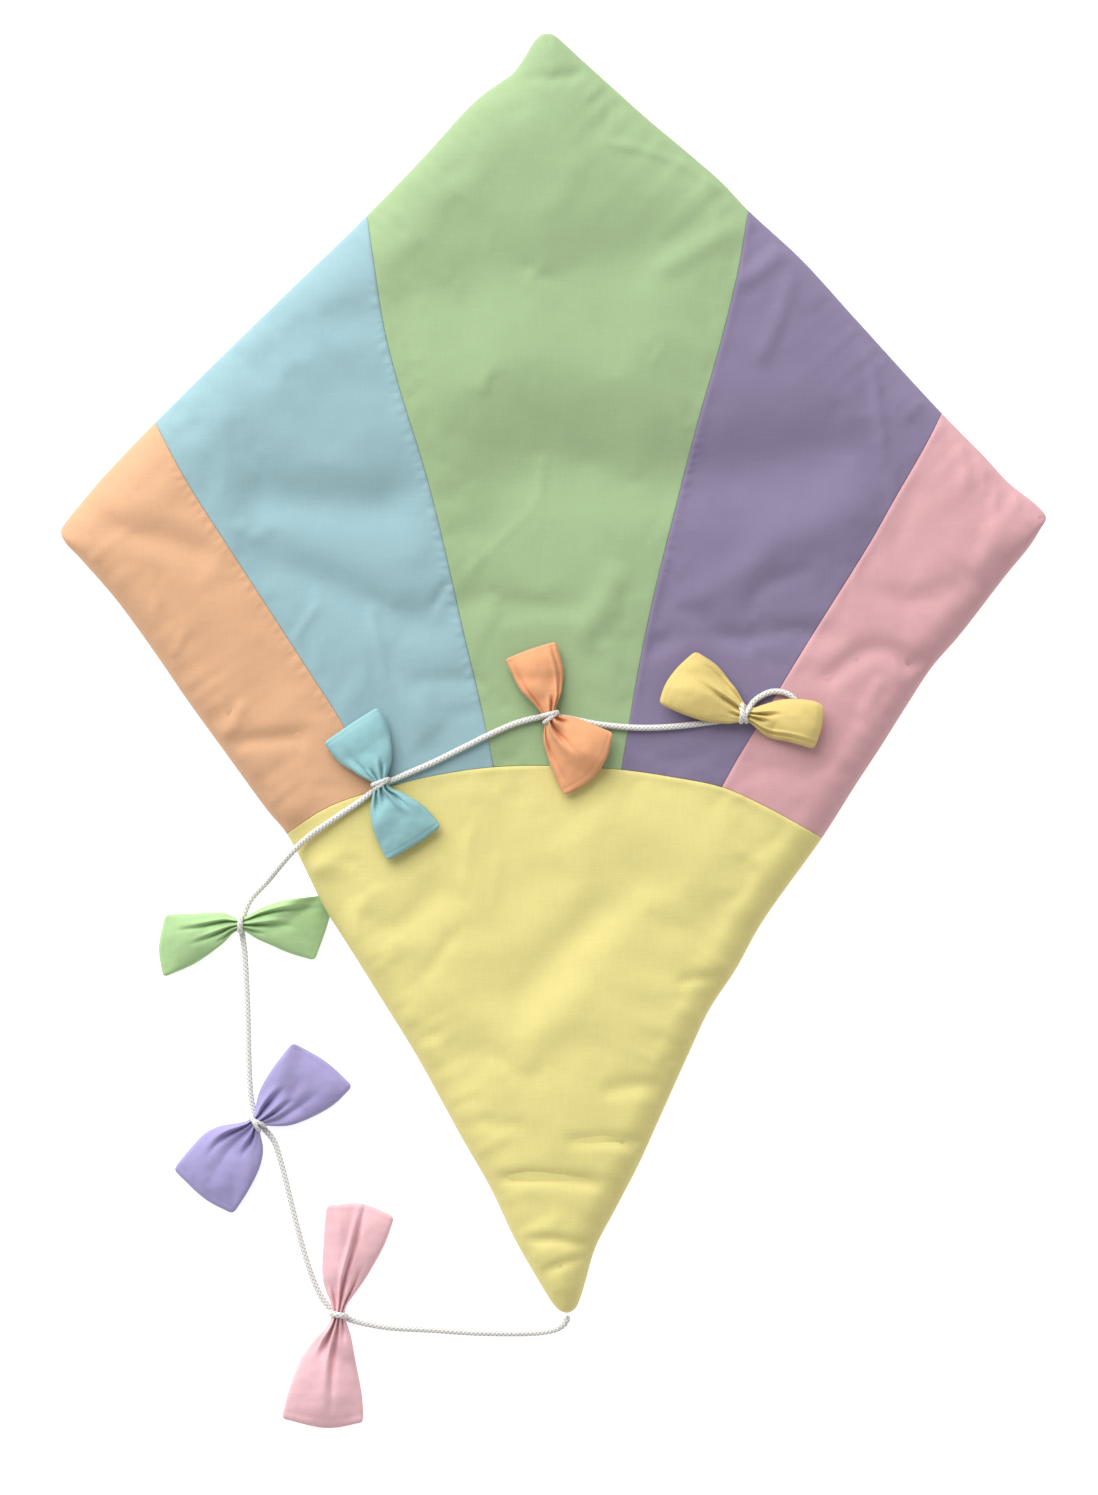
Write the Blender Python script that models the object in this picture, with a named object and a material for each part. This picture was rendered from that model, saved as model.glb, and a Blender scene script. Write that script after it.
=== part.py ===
"""Pieced, padded cotton kite with a braided tail cord that carries six fabric bows.

Units are metres and +Z is up. The kite lies on its back on the floor, face up, with its
long point towards -Y. The origin is on the floor under the middle of the kite's outline.
"""

import math

import bmesh
import bpy
import numpy as np
from mathutils import Vector
from mathutils.geometry import delaunay_2d_cdt

MM = 0.001

# Kite body
RIM_HEIGHT = 9 * MM  # height of the sewn edge over the floor
LOFT = 22 * MM  # rise of the padded front over the sewn edge
SHOULDER = 46 * MM  # width of the rounded band along the edge
UNDERCUT = 28 * MM  # width of the band along the edge where the back leaves the floor
UNDERCUT_POWER = 1.3  # how steeply the back leaves the floor
RINGS = (7, 14, 21, 28, 37, 46)  # rings of points along the edge, in millimetres from it
CLOTH = 1 * MM  # thickness of a lined cloth layer
GAP = 0.3 * MM  # clearance between neighbours
PADDING_SLACK = 8 * MM  # extra clearance over the filling where the front is steep
EDGE_STEP = 15 * MM  # spacing of points along outlines and seams
GRID_STEP = 22 * MM  # spacing of points inside a panel
SEAM_MARGIN = 4 * MM  # least distance of those points from a seam

# Tail cord
CORD_RADIUS = 2 * MM
CORD_POINTS = 80
CORD_LAY = CORD_RADIUS + GAP  # height of the cord's centre over what it lies on
CORD_LEAN = 4 * MM  # how far inside the edge the front's height is taken, for the slope
CLIMB_EASE = 8 * MM  # how far outside the sewn edge the cord has already climbed
CLIMB_SLOPE = 0.7  # steepest rise of the cord
CLIMB_START = 0.1  # length of cord at the tip that stays on the floor
SEWN_DROP = 30 * MM  # length over which the cord comes down from the sewn tip

# Bows
WING = 3.2 * MM  # thickness of a doubled wing
WAIST = 7.5 * MM  # thickness of the gathered waist
WAIST_REACH = 15 * MM  # distance from the knot over which the gathers flatten out
HEM_SHARE = 0.35  # thickness of a wing at its hem, as a share of the full thickness
HEM_ROUND = 5 * MM  # width of the rounded hem
BOW_STEP = 9 * MM
BOW_LAY = 0.2 * MM + GAP  # clearance under a bow
HUMP_FLAT = 11 * MM  # half the width of the bow's hollow over the cord
HUMP_END = 25 * MM  # distance from the cord where that hollow has died out
SWING_STEPS = 7
HITCH_CLEAR = 0.8 * MM  # clearance between a waist and the turn of cord round it
HITCH_POINTS = 13

FABRIC_ROUGHNESS = 0.9

# Outline, anticlockwise from above, in millimetres. Each stretch starts at a seam's end.
EDGES = {
    "green": [
        (126.6, 300.6), (109.4, 318.8), (90.9, 335.1), (60.6, 360.5), (35.3, 383.3),
        (14.3, 402.3), (5.5, 410.5), (-1, 415.3), (-7.5, 415.3), (-12.5, 411), (-16.5, 404.5),
        (-21.5, 396.5), (-27, 389.5), (-34, 384.5), (-46, 376), (-57, 366), (-84, 336),
    ],
    "blue": [(-121.4, 297.4), (-191, 230)],
    "orange": [
        (-259.2, 162.8), (-284, 137), (-296, 124), (-308, 109.5), (-317, 98.5),
        (-320.5, 92.5), (-318.5, 85.5), (-307.7, 73.8), (-285.2, 48), (-262.4, 17),
        (-238, -18.5), (-213.7, -52), (-186, -90),
    ],
    "yellow": [
        (-173.6, -105), (-149, -153), (-130, -183.5), (-111, -214), (-90, -248),
        (-60.7, -301), (-41, -335.5), (-26.5, -366.3), (-11.6, -392.7), (-0.5, -410.5),
        (4.5, -415.3), (9.5, -416.3), (14, -413.5), (17.5, -406), (20.8, -395),
        (27, -374), (39.8, -349.4), (55, -320.1), (69.1, -289), (88, -247),
        (101, -219.4), (118.3, -193), (135, -163),
    ],
    "pink": [
        (174.4, -107.6), (197, -72), (211.5, -50), (228.5, -23), (245.5, 3), (264, 24.5),
        (295, 64.5), (308.5, 81), (316, 92.5), (320.2, 101), (314, 109), (296, 123.5),
        (280.3, 140.4),
    ],
    "purple": [(252.4, 168.7), (195.4, 231), (161.5, 268.3)],
}

# Seams of the pieced front, each from its end at the outline inwards, in millimetres
SEAMS = {
    "green_blue": [
        (-121.4, 297.4), (-116.5, 264.9), (-109.7, 222.6), (-99.9, 184),
        (-83.7, 131.6), (-73.5, 92.6), (-57.7, 23), (-47.9, -17.9), (-38.8, -61.5),
    ],
    "green_purple": [
        (126.6, 300.6), (119.8, 261.6), (108.1, 212.9), (95.1, 168), (82.1, 118.6),
        (65.8, 53.6), (56.1, 8.1), (43.7, -63.2),
    ],
    "blue_orange": [
        (-259.2, 162.8), (-236.4, 121.4), (-198.5, 62.5), (-158.4, 0.5), (-137.3, -32.5),
        (-114.9, -76.5),
    ],
    "purple_pink": [
        (252.4, 168.7), (240.7, 146.6), (220.6, 111.9), (204.2, 83), (160.1, 12.4),
        (134.1, -30.9), (117.8, -58), (108.7, -74.5),
    ],
}

# The yellow panel's top seam, from left to right, with the four seams' inner ends on it
ARC = [
    (-173.6, -105), (-146, -87.5), (-114.9, -76.5), (-80.4, -67.6), (-38.8, -61.5),
    (3, -60.8), (43.7, -63.2), (77, -68), (108.7, -74.5), (137, -87), (174.4, -107.6),
]
ARC_STOPS = [0, 2, 4, 6, 8, 10]  # the points of ARC where panels meet

# Panels as rings of lines: a name, and whether it is followed backwards
PANELS = {
    "green": [("edge_green", 0), ("green_blue", 0), ("arc_2", 0), ("green_purple", 1)],
    "blue": [("edge_blue", 0), ("blue_orange", 0), ("arc_1", 0), ("green_blue", 1)],
    "orange": [("edge_orange", 0), ("arc_0", 0), ("blue_orange", 1)],
    "yellow": [
        ("edge_yellow", 0), ("arc_4", 1), ("arc_3", 1), ("arc_2", 1), ("arc_1", 1), ("arc_0", 1),
    ],
    "pink": [("edge_pink", 0), ("purple_pink", 0), ("arc_4", 0)],
    "purple": [("edge_purple", 0), ("green_purple", 0), ("arc_3", 0), ("purple_pink", 1)],
}

PANEL_COLOURS = {
    "green": (171, 199, 150),
    "blue": (160, 200, 210),
    "orange": (232, 182, 142),
    "yellow": (236, 222, 146),
    "pink": (223, 172, 178),
    "purple": (137, 126, 158),
}

# Route of the tail cord over floor and front, from the lower tip to its end, in millimetres
CORD_ROUTE = [
    (9.4, -418.6), (7.8, -422.8), (3.5, -426.6), (-4.5, -429.2), (-16, -430.4), (-50, -430.2),
    (-77, -428.5), (-114, -425.8), (-140.4, -418.4), (-149.5, -409.5), (-155.5, -398.5),
    (-163, -376.5), (-171, -346), (-177.5, -320), (-182.5, -305), (-192.3, -292.6),
    (-196.8, -280), (-198.4, -262), (-199.5, -221), (-201.3, -184), (-203, -163.5),
    (-198.2, -149), (-186, -135.5), (-169, -116), (-158, -106), (-142.3, -95),
    (-126.6, -84.5), (-111.6, -73.5), (-99.5, -67.8), (-79.2, -59), (-58, -48.6),
    (-37.7, -38.6), (-21, -32), (-2.8, -28.6), (32.7, -34.3), (61.7, -36), (95, -33.2),
    (121.5, -27.5), (131, -17.5), (141.5, -12.6), (152, -14.6), (159, -22),
]

# Bows: the knot, the wings' outline round it (anticlockwise, in millimetres), the way that
# the hitch's turn crosses the waist (degrees from +X), the swing each way (degrees), and
# whether the bow lies on the front or on the floor
BOWS = {
    "pink": {
        "knot": (-140.2, -417.6),
        "loop": [
            (7.2, 3), (12, 14), (19.5, 26), (29.9, 45), (36.4, 63.1), (15.6, 71.5),
            (-7.8, 70.9), (-9.8, 46.2), (-10.4, 24.7), (-7.5, 10), (-6.8, 0),
            (-9.5, -8), (-15.6, -16.3), (-24.1, -28.6), (-32.5, -50.1), (-37.4, -68.5),
            (-7.2, -74.8), (16.3, -70.9), (15, -52.7), (11.1, -31.2), (8.5, -15), (7, -5),
        ],
        "band": -10,
        "swing": 15,
        "on_front": False,
        "colour": (243, 196, 204),
    },
    "purple": {
        "knot": (-193.5, -292.8),
        "loop": [
            (5.5, -6), (13, -4.2), (24.7, -1.3), (37.7, 3.9), (50.7, 11.7), (62.4, 23.4),
            (45.5, 39), (23.4, 52), (11.7, 37.1), (3.9, 24.7), (-1, 14), (-5.5, 6),
            (-14, 0.5), (-26, -3.3), (-34, -7.5), (-44.9, -18.9), (-54.6, -31),
            (-33.2, -50.7), (-15.5, -60), (-5.2, -44.2), (2, -29.3), (5, -16.3),
        ],
        "band": 134,
        "swing": 15,
        "on_front": False,
        "colour": (178, 170, 220),
    },
    "green": {
        "knot": (-203.9, -163.5),
        "loop": [
            (0, -7), (6, -8.5), (17.6, -13), (30.6, -18.9), (48.1, -24.1), (56, -2),
            (61.8, 20.2), (51.4, 18.2), (38.4, 16.9), (26.7, 15), (13, 10.4), (5, 7.5),
            (-1, 6.5), (-9.8, 7.5), (-29.9, 6.6), (-49.4, 5.8), (-53.5, -16),
            (-50.7, -35.1), (-29.9, -26), (-13, -14.3), (-5, -8.5),
        ],
        "band": 92,
        "swing": 10,
        "on_front": False,
        "colour": (171, 207, 148),
    },
    "blue": {
        "knot": (-111.6, -71.8),
        "loop": [
            (6.3, 3), (7.2, 16.3), (6.4, 29.3), (3.9, 39), (-1.95, 49.4), (-20, 38),
            (-37.1, 26), (-27.3, 13.7), (-15.5, 5.9), (-7, -2), (-6.5, -10),
            (-6.8, -20), (-3.9, -33), (3.9, -50.1), (22, -40), (39, -28),
            (28.6, -15.5), (15, -6.5), (8, -2.5),
        ],
        "band": 28,
        "swing": 15,
        "on_front": True,
        "colour": (148, 198, 205),
    },
    "orange": {
        "knot": (-2.4, -28.3),
        "loop": [
            (6.5, 5), (7.8, 17), (8.6, 30), (3.9, 48.1), (-13, 43), (-29.3, 36.4),
            (-19.5, 16.9), (-9.5, 5.5), (-6.5, -4), (-3.8, -19), (1.3, -35.1),
            (9.1, -51.4), (26, -41.6), (35.8, -28.6), (41, -11.1), (28, -5.5),
            (16.3, -1), (9, 1.5),
        ],
        "band": 28,
        "swing": 15,
        "on_front": True,
        "colour": (240, 169, 122),
    },
    "yellow": {
        "knot": (122.4, -27.0),
        "loop": [
            (2, -8), (7.8, -10.4), (16.9, -15.6), (28.6, -18), (45.5, -22.8),
            (50, -10), (52, 4.6), (46.8, 7.8), (34.5, 9.6), (24.1, 9.1), (12.4, 6.5),
            (4, 7), (-6.5, 18.5), (-16.9, 31.2), (-31, 40.6), (-43, 29.5), (-50.5, 19), (-54.8, 6.8),
            (-42.3, 1), (-26, -4.6), (-13, -6.5), (-5, -7.5),
        ],
        "band": 72,
        "swing": 15,
        "on_front": True,
        "colour": (234, 210, 132),
    },
}

CORD_COLOUR = (236, 233, 226)
PADDING_COLOUR = (240, 239, 234)
BACK_COLOUR = (233, 227, 212)


# ---------------------------------------------------------------- flat curves


def curve_segments(points, closed=False, step=EDGE_STEP):
    """Centripetal Catmull-Rom curve through points, as one run of points per segment."""
    points = np.array(points, float) * MM
    if closed:
        padded = np.vstack([points[-1:], points, points[:2]])
    else:
        before = 2 * points[:1] - points[1:2]
        after = 2 * points[-1:] - points[-2:-1]
        padded = np.vstack([before, points, after])
    runs = []
    for a, b, c, d in zip(padded, padded[1:], padded[2:], padded[3:]):
        ab, bc, cd = (math.sqrt(np.linalg.norm(v)) for v in (b - a, c - b, d - c))
        leave = bc * ((b - a) / ab - (c - a) / (ab + bc) + (c - b) / bc)
        arrive = bc * ((c - b) / bc - (d - b) / (bc + cd) + (d - c) / cd)
        count = max(1, round(np.linalg.norm(c - b) / step))
        t = np.arange(count)[:, None] / count
        runs.append(
            (2 * t**3 - 3 * t**2 + 1) * b
            + (t**3 - 2 * t**2 + t) * leave
            + (3 * t**2 - 2 * t**3) * c
            + (t**3 - t**2) * arrive
        )
    return runs


def panel_lines():
    """Every edge stretch, seam and arc piece by name, each with both of its ends."""
    lines = {}
    corners = [p for stretch in EDGES.values() for p in stretch]
    runs = curve_segments(corners, closed=True)
    start = 0
    for name, stretch in EDGES.items():
        stop = start + len(stretch)
        end = runs[stop % len(runs)][:1]
        lines[f"edge_{name}"] = np.vstack([*runs[start:stop], end])
        start = stop
    for name, points in SEAMS.items():
        lines[name] = np.vstack([*curve_segments(points), np.array([points[-1]]) * MM])
    arc = curve_segments(ARC)
    for i, (start, stop) in enumerate(zip(ARC_STOPS, ARC_STOPS[1:])):
        lines[f"arc_{i}"] = np.vstack([*arc[start:stop], np.array([ARC[stop]]) * MM])
    return lines


def joined(lines, ring):
    """One closed loop out of named lines, each given with whether it runs backwards."""
    return np.vstack([(lines[name][::-1] if back else lines[name])[:-1] for name, back in ring])


def split_long(loop, step):
    """A loop of straight sides with points added no further apart than step."""
    points = []
    for a, b in zip(loop, np.roll(loop, -1, 0)):
        count = max(1, math.ceil(np.linalg.norm(b - a) / step))
        points += [a + (b - a) * i / count for i in range(count)]
    return np.array(points)


def edge_distance(points, loop):
    """Distance from each point to a loop's sides."""
    side = np.roll(loop, -1, 0) - loop
    away = points[:, None] - loop
    t = np.clip((away * side).sum(2) / (side**2).sum(1), 0, 1)
    return np.linalg.norm(away - t[..., None] * side, axis=2).min(1)


def is_inside(points, loop):
    """Whether each point is inside a loop, by counting the sides to its right."""
    x, y = points.T[:, :, None]
    x0, y0 = loop.T
    x1, y1 = np.roll(loop, -1, 0).T
    spans = (y0 > y) != (y1 > y)
    with np.errstate(divide="ignore", invalid="ignore"):
        crossing = x0 + (y - y0) * (x1 - x0) / (y1 - y0)
    return (spans & (x < crossing)).sum(1) % 2 == 1


def inset(loop, distance):
    """The loop moved inwards, without the points that its corners swallow."""
    before = loop - np.roll(loop, 1, 0)
    after = np.roll(loop, -1, 0) - loop
    normals = [np.stack([-v[:, 1], v[:, 0]], 1) / np.linalg.norm(v, axis=1)[:, None]
               for v in (before, after)]
    total = normals[0] + normals[1]
    moved = loop + distance * 2 * total / (total**2).sum(1)[:, None]
    keep = is_inside(moved, loop) & (edge_distance(moved, loop) > 0.97 * distance)
    return moved[keep]


def grid_inside(loop, step, margin):
    """Staggered grid of points inside a loop, at least margin from its sides."""
    low = loop.min(0)
    high = loop.max(0)
    rows = np.arange(low[1], high[1], step * math.sqrt(3) / 2)
    points = [
        (x + (i % 2) * step / 2, y)
        for i, y in enumerate(rows)
        for x in np.arange(low[0], high[0], step)
    ]
    points = np.array(points)
    return points[is_inside(points, loop) & (edge_distance(points, loop) > margin)]


# ---------------------------------------------------------------- heights


LINES = panel_lines()
OUTLINE = joined(LINES, [(f"edge_{name}", False) for name in EDGES])


def bulge(t):
    """Quarter circle from 0 at t = 0 up to 1 at t = 1 and beyond."""
    return np.sqrt(1 - (1 - np.clip(t, 0, 1)) ** 2)


def smooth_step(t):
    """Smooth rise from 0 at t = 0 to 1 at t = 1."""
    t = np.clip(t, 0, 1)
    return t * t * (3 - 2 * t)


def front_inside(points):
    """Height of the front's inner surface."""
    rise = bulge(edge_distance(points, OUTLINE) / SHOULDER)
    return RIM_HEIGHT + GAP / 2 + LOFT * rise


def front_outside(points):
    """Height of the front's outer surface."""
    return front_inside(points) + CLOTH


def back_outside(points):
    """Height of the back's lower surface, flat on the floor but for a band along the edge."""
    t = np.clip(edge_distance(points, OUTLINE) / UNDERCUT, 0, 1)
    return (RIM_HEIGHT - GAP / 2 - CLOTH) * (1 - t) ** UNDERCUT_POWER


def back_inside(points):
    """Height of the back's upper surface."""
    return back_outside(points) + CLOTH


def padding_top(points):
    """Height of the filling's upper surface, a little slack where the front is steep."""
    steep = 1 - bulge(edge_distance(points, OUTLINE) / SHOULDER)
    return front_inside(points) - GAP - PADDING_SLACK * steep


def padding_bottom(points):
    """Height of the filling's lower surface."""
    return back_inside(points) + GAP


def cord_path():
    """Points along the tail cord's centre, over the floor and up onto the front."""
    route = np.vstack(curve_segments(CORD_ROUTE, step=CORD_RADIUS))
    run = np.cumsum([0, *np.linalg.norm(np.diff(route, axis=0), axis=1)])
    near = is_inside(route, OUTLINE) | (edge_distance(route, OUTLINE) < CLIMB_EASE)
    inner = np.where(is_inside(route, OUTLINE), edge_distance(route, OUTLINE), 0)
    top = RIM_HEIGHT + GAP / 2 + CLOTH + LOFT * bulge((inner + CORD_LEAN) / SHOULDER)
    bed = np.where(near & (run > CLIMB_START), top, 0)
    climb = (bed - CLIMB_SLOPE * abs(run[:, None] - run)).max(1)
    width = round(CLIMB_EASE / CORD_RADIUS)
    ends = np.pad(climb, width, mode="edge")
    eased = np.convolve(ends, np.full(2 * width + 1, 1 / (2 * width + 1)), "valid")
    drop = (RIM_HEIGHT - CORD_LAY) * (1 - smooth_step(run / SEWN_DROP))
    dense = np.column_stack([route, eased + CORD_LAY + drop])
    even = np.linspace(0, run[-1], CORD_POINTS)
    return np.column_stack([np.interp(even, run, dense[:, i]) for i in range(3)])


CORD = cord_path()


def over_cord(points, bed):
    """Height of a bow's bed with a wide hump where the cord runs over it."""
    start = CORD[:-1, :2]
    side = np.diff(CORD[:, :2], axis=0)
    away = points[:, None] - start
    t = np.clip((away * side).sum(2) / (side**2).sum(1), 0, 1)
    distance = np.linalg.norm(away - t[..., None] * side, axis=2)
    nearest = distance.argmin(1)
    index = np.arange(len(points))
    along = t[index, nearest]
    cord_top = CORD[nearest, 2] * (1 - along) + CORD[nearest + 1, 2] * along + CORD_RADIUS
    fade = 1 - smooth_step((distance[index, nearest] - HUMP_FLAT) / (HUMP_END - HUMP_FLAT))
    return np.maximum(bed, bed + fade * (cord_top - bed))


def bow_bottom(points, bow):
    """Height that clears floor, front and cord at every angle of the bow's swing."""
    knot = np.array(bow["knot"]) * MM
    heights = []
    for angle in np.radians(np.linspace(-bow["swing"], bow["swing"], SWING_STEPS)):
        turn = np.array([[math.cos(angle), math.sin(angle)], [-math.sin(angle), math.cos(angle)]])
        swung = knot + (points - knot) @ turn
        bed = front_outside(swung) if bow["on_front"] else np.zeros(len(swung))
        heights.append(over_cord(swung, bed))
    return np.max(heights, axis=0) + BOW_LAY


def bow_thickness(points, bow, loop):
    """Thickness of a bow: full at the waist, thin in the wings, rounded at the hem."""
    away = np.linalg.norm(points - np.array(bow["knot"]) * MM, axis=1)
    gathered = WING + (WAIST - WING) * np.exp(-((away / WAIST_REACH) ** 2))
    hem = HEM_SHARE + (1 - HEM_SHARE) * bulge(edge_distance(points, loop) / HEM_ROUND)
    return gathered * hem


# ---------------------------------------------------------------- solids


def material(name, srgb):
    """A plain Principled material in an sRGB colour given as 0 to 255."""
    mat = bpy.data.materials.new(name)
    mat.use_nodes = True
    shader = mat.node_tree.nodes["Principled BSDF"]
    linear = [((c / 255 + 0.055) / 1.055) ** 2.4 for c in srgb]
    shader.inputs["Base Color"].default_value = (*linear, 1)
    shader.inputs["Roughness"].default_value = FABRIC_ROUGHNESS
    return mat


def place(name, data, srgb, parent=None):
    """Link an object with its own material, with its origin at its parent's."""
    data.materials.append(material(name, srgb))
    item = bpy.data.objects.new(name, data)
    bpy.context.collection.objects.link(item)
    if parent:
        item.parent = parent
    return item


def solid_between(name, loop, inner, bottom, top, srgb, parent=None):
    """Closed solid over a flat loop, between two functions of height."""
    points = [Vector(p) for p in np.vstack([loop, inner])]
    flat, _, faces, _, _, _ = delaunay_2d_cdt(points, [], [list(range(len(loop)))], 1, 1e-7)
    flat = np.array([tuple(p) for p in flat])
    pivot = parent.location if parent else Vector()
    bm = bmesh.new()
    layers = []
    for heights in (bottom(flat), top(flat)):
        layers.append([bm.verts.new(Vector((x, y, z)) - pivot)
                       for (x, y), z in zip(flat, heights)])
    borders = {}
    for face in faces:
        bm.faces.new([layers[1][i] for i in face])
        bm.faces.new([layers[0][i] for i in reversed(face)])
        for a, b in zip(face, face[1:] + face[:1]):
            borders[a, b] = borders.pop((b, a), None) is None
    for (a, b), is_border in borders.items():
        if is_border:
            bm.faces.new([layers[0][a], layers[0][b], layers[1][b], layers[1][a]])
    loose = [v for v in bm.verts if not v.link_faces]
    bmesh.ops.delete(bm, geom=loose, context="VERTS")
    mesh = bpy.data.meshes.new(name)
    bm.to_mesh(mesh)
    bm.free()
    return place(name, mesh, srgb, parent)


def dissolve_level(item, level):
    """Join the faces that all lie at one height into one flat face."""
    bm = bmesh.new()
    bm.from_mesh(item.data)
    flat = [f for f in bm.faces if all(abs(v.co.z - level) < 1e-7 for v in f.verts)]
    bmesh.ops.dissolve_faces(bm, faces=flat, use_verts=True)
    bm.to_mesh(item.data)
    bm.free()


def tube(name, points, srgb, parent=None):
    """Cord along points, with closed ends."""
    data = bpy.data.curves.new(name, "CURVE")
    data.dimensions = "3D"
    data.bevel_depth = CORD_RADIUS
    data.bevel_resolution = 2
    data.use_fill_caps = True
    spline = data.splines.new("POLY")
    spline.points.add(len(points) - 1)
    pivot = parent.location if parent else Vector()
    for target, point in zip(spline.points, points):
        target.co = (*(Vector(point) - pivot), 1)
    return place(name, data, srgb, parent)


def edge_rings(distances):
    """The outline moved inwards by each of the distances, in millimetres."""
    return [inset(OUTLINE, distance * MM) for distance in distances]


def front_panel(name, ring):
    """One cloth panel of the pieced front."""
    loop = inset(joined(LINES, ring), GAP / 2)
    rings = edge_rings(RINGS)
    inner = [r[is_inside(r, loop) & (edge_distance(r, loop) > SEAM_MARGIN)] for r in rings]
    middle = grid_inside(loop, GRID_STEP, SEAM_MARGIN * 2)
    inner.append(middle[edge_distance(middle, OUTLINE) > RINGS[-1] * MM + GRID_STEP / 2])
    solid_between(
        f"front_panel_{name}",
        loop,
        np.vstack(inner),
        front_inside,
        front_outside,
        PANEL_COLOURS[name],
    )


def back_panel():
    """The plain back, flat where it rests."""
    inner = np.vstack(edge_rings(ring for ring in RINGS if ring * MM <= UNDERCUT))
    item = solid_between("back_panel", OUTLINE, inner, back_outside, back_inside, BACK_COLOUR)
    dissolve_level(item, 0)
    dissolve_level(item, CLOTH)


def padding():
    """The filling between the front and the back."""
    loop, *rings = edge_rings(RINGS)
    inner = np.vstack([*rings, grid_inside(rings[-1], GRID_STEP, GRID_STEP / 2)])
    item = solid_between("padding", loop, inner, padding_bottom, padding_top, PADDING_COLOUR)
    dissolve_level(item, CLOTH + GAP)


def bow(name, spec):
    """A gathered bow and the turn of cord that binds it, turning on the knot's axis."""
    knot = np.array([spec["knot"]]) * MM
    loop = split_long(knot + np.array(spec["loop"]) * MM, BOW_STEP)
    rim = inset(loop, HEM_ROUND / 2)
    inner = np.vstack([rim, grid_inside(loop, BOW_STEP, HEM_ROUND * 0.8)])

    def bottom(points):
        return bow_bottom(points, spec)

    def top(points):
        return bottom(points) + bow_thickness(points, spec, loop)

    band = math.radians(spec["band"])
    across = np.array([math.cos(band), math.sin(band)])
    hem = split_long(loop, MM) - knot
    under = abs(hem @ np.array([-across[1], across[0]])) < CORD_RADIUS + HITCH_CLEAR
    half = abs(hem @ across)[under].max() + HITCH_CLEAR + CORD_RADIUS
    foot = bottom(knot + half * np.array([-across, across])).max()
    rise = top(knot)[0] + HITCH_CLEAR + CORD_RADIUS - foot

    pivot = bpy.data.objects.new(f"pivot_{name}", None)
    bpy.context.collection.objects.link(pivot)
    pivot.location = (*knot[0], foot)
    solid_between(f"bow_{name}", loop, inner, bottom, top, spec["colour"], pivot)
    arch = [
        pivot.location + Vector((*across * half * math.cos(a), rise * math.sin(a)))
        for a in np.linspace(0, math.pi, HITCH_POINTS)
    ]
    tube(f"hitch_{name}", arch, CORD_COLOUR, pivot)


def main():
    for item in list(bpy.data.objects):
        bpy.data.objects.remove(item)
    back_panel()
    padding()
    for name, ring in PANELS.items():
        front_panel(name, ring)
    tube("tail_cord", CORD, CORD_COLOUR)
    for name, spec in BOWS.items():
        bow(name, spec)


main()
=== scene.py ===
"""Looks of the pieced, padded cotton kite with its braided tail cord and six fabric bows.

Metres, +Z up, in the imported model's frame: the kite lies on its back, long point towards -Y.
"""

import math

import bpy
import numpy as np
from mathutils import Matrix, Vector, noise
from mathutils.geometry import delaunay_2d_cdt
from mathutils.kdtree import KDTree


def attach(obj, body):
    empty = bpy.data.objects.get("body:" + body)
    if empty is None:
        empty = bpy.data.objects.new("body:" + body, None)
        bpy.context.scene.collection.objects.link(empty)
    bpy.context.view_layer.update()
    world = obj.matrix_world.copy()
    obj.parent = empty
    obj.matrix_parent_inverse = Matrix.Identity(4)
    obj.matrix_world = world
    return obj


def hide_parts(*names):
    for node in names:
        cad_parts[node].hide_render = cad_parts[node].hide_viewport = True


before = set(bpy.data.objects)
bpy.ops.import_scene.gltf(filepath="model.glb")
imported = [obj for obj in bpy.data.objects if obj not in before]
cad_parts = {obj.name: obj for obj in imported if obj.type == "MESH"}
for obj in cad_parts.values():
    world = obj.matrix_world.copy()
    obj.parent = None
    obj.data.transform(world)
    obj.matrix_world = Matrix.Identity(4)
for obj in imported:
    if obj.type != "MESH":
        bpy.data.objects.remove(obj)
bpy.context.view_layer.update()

MM = 0.001

# ---- the frame's own sizes

# Kite body
RIM_HEIGHT = 9 * MM  # height of the sewn edge over the floor
LOFT = 22 * MM  # rise of the padded front over the sewn edge
SHOULDER = 46 * MM  # width of the rounded band along the edge
UNDERCUT = 28 * MM  # width of the band along the edge where the back leaves the floor
UNDERCUT_POWER = 1.3  # how steeply the back leaves the floor
CLOTH = 1 * MM  # thickness of a lined cloth layer
GAP = 0.3 * MM  # clearance between neighbours

# Tail cord
CORD_RADIUS = 2 * MM
CORD_LAY = CORD_RADIUS + GAP  # height of the cord's centre over what it lies on
CORD_LEAN = 4 * MM  # how far inside the edge the front's height is taken, for the slope
CLIMB_EASE = 8 * MM  # how far outside the sewn edge the cord has already climbed
CLIMB_SLOPE = 0.7  # steepest rise of the cord
CLIMB_START = 0.1  # length of cord at the tip that stays on the floor
SEWN_DROP = 30 * MM  # length over which the cord comes down from the sewn tip

# Bows
BOW_LAY = 0.2 * MM + GAP  # clearance under a bow
HUMP_FLAT = 11 * MM  # half the width of the bow's hollow over the cord
HUMP_END = 25 * MM  # distance from the cord where that hollow has died out
SWING_STEPS = 7
HITCH_CLEAR = 0.8 * MM  # clearance between a waist and the turn of cord round it

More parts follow.
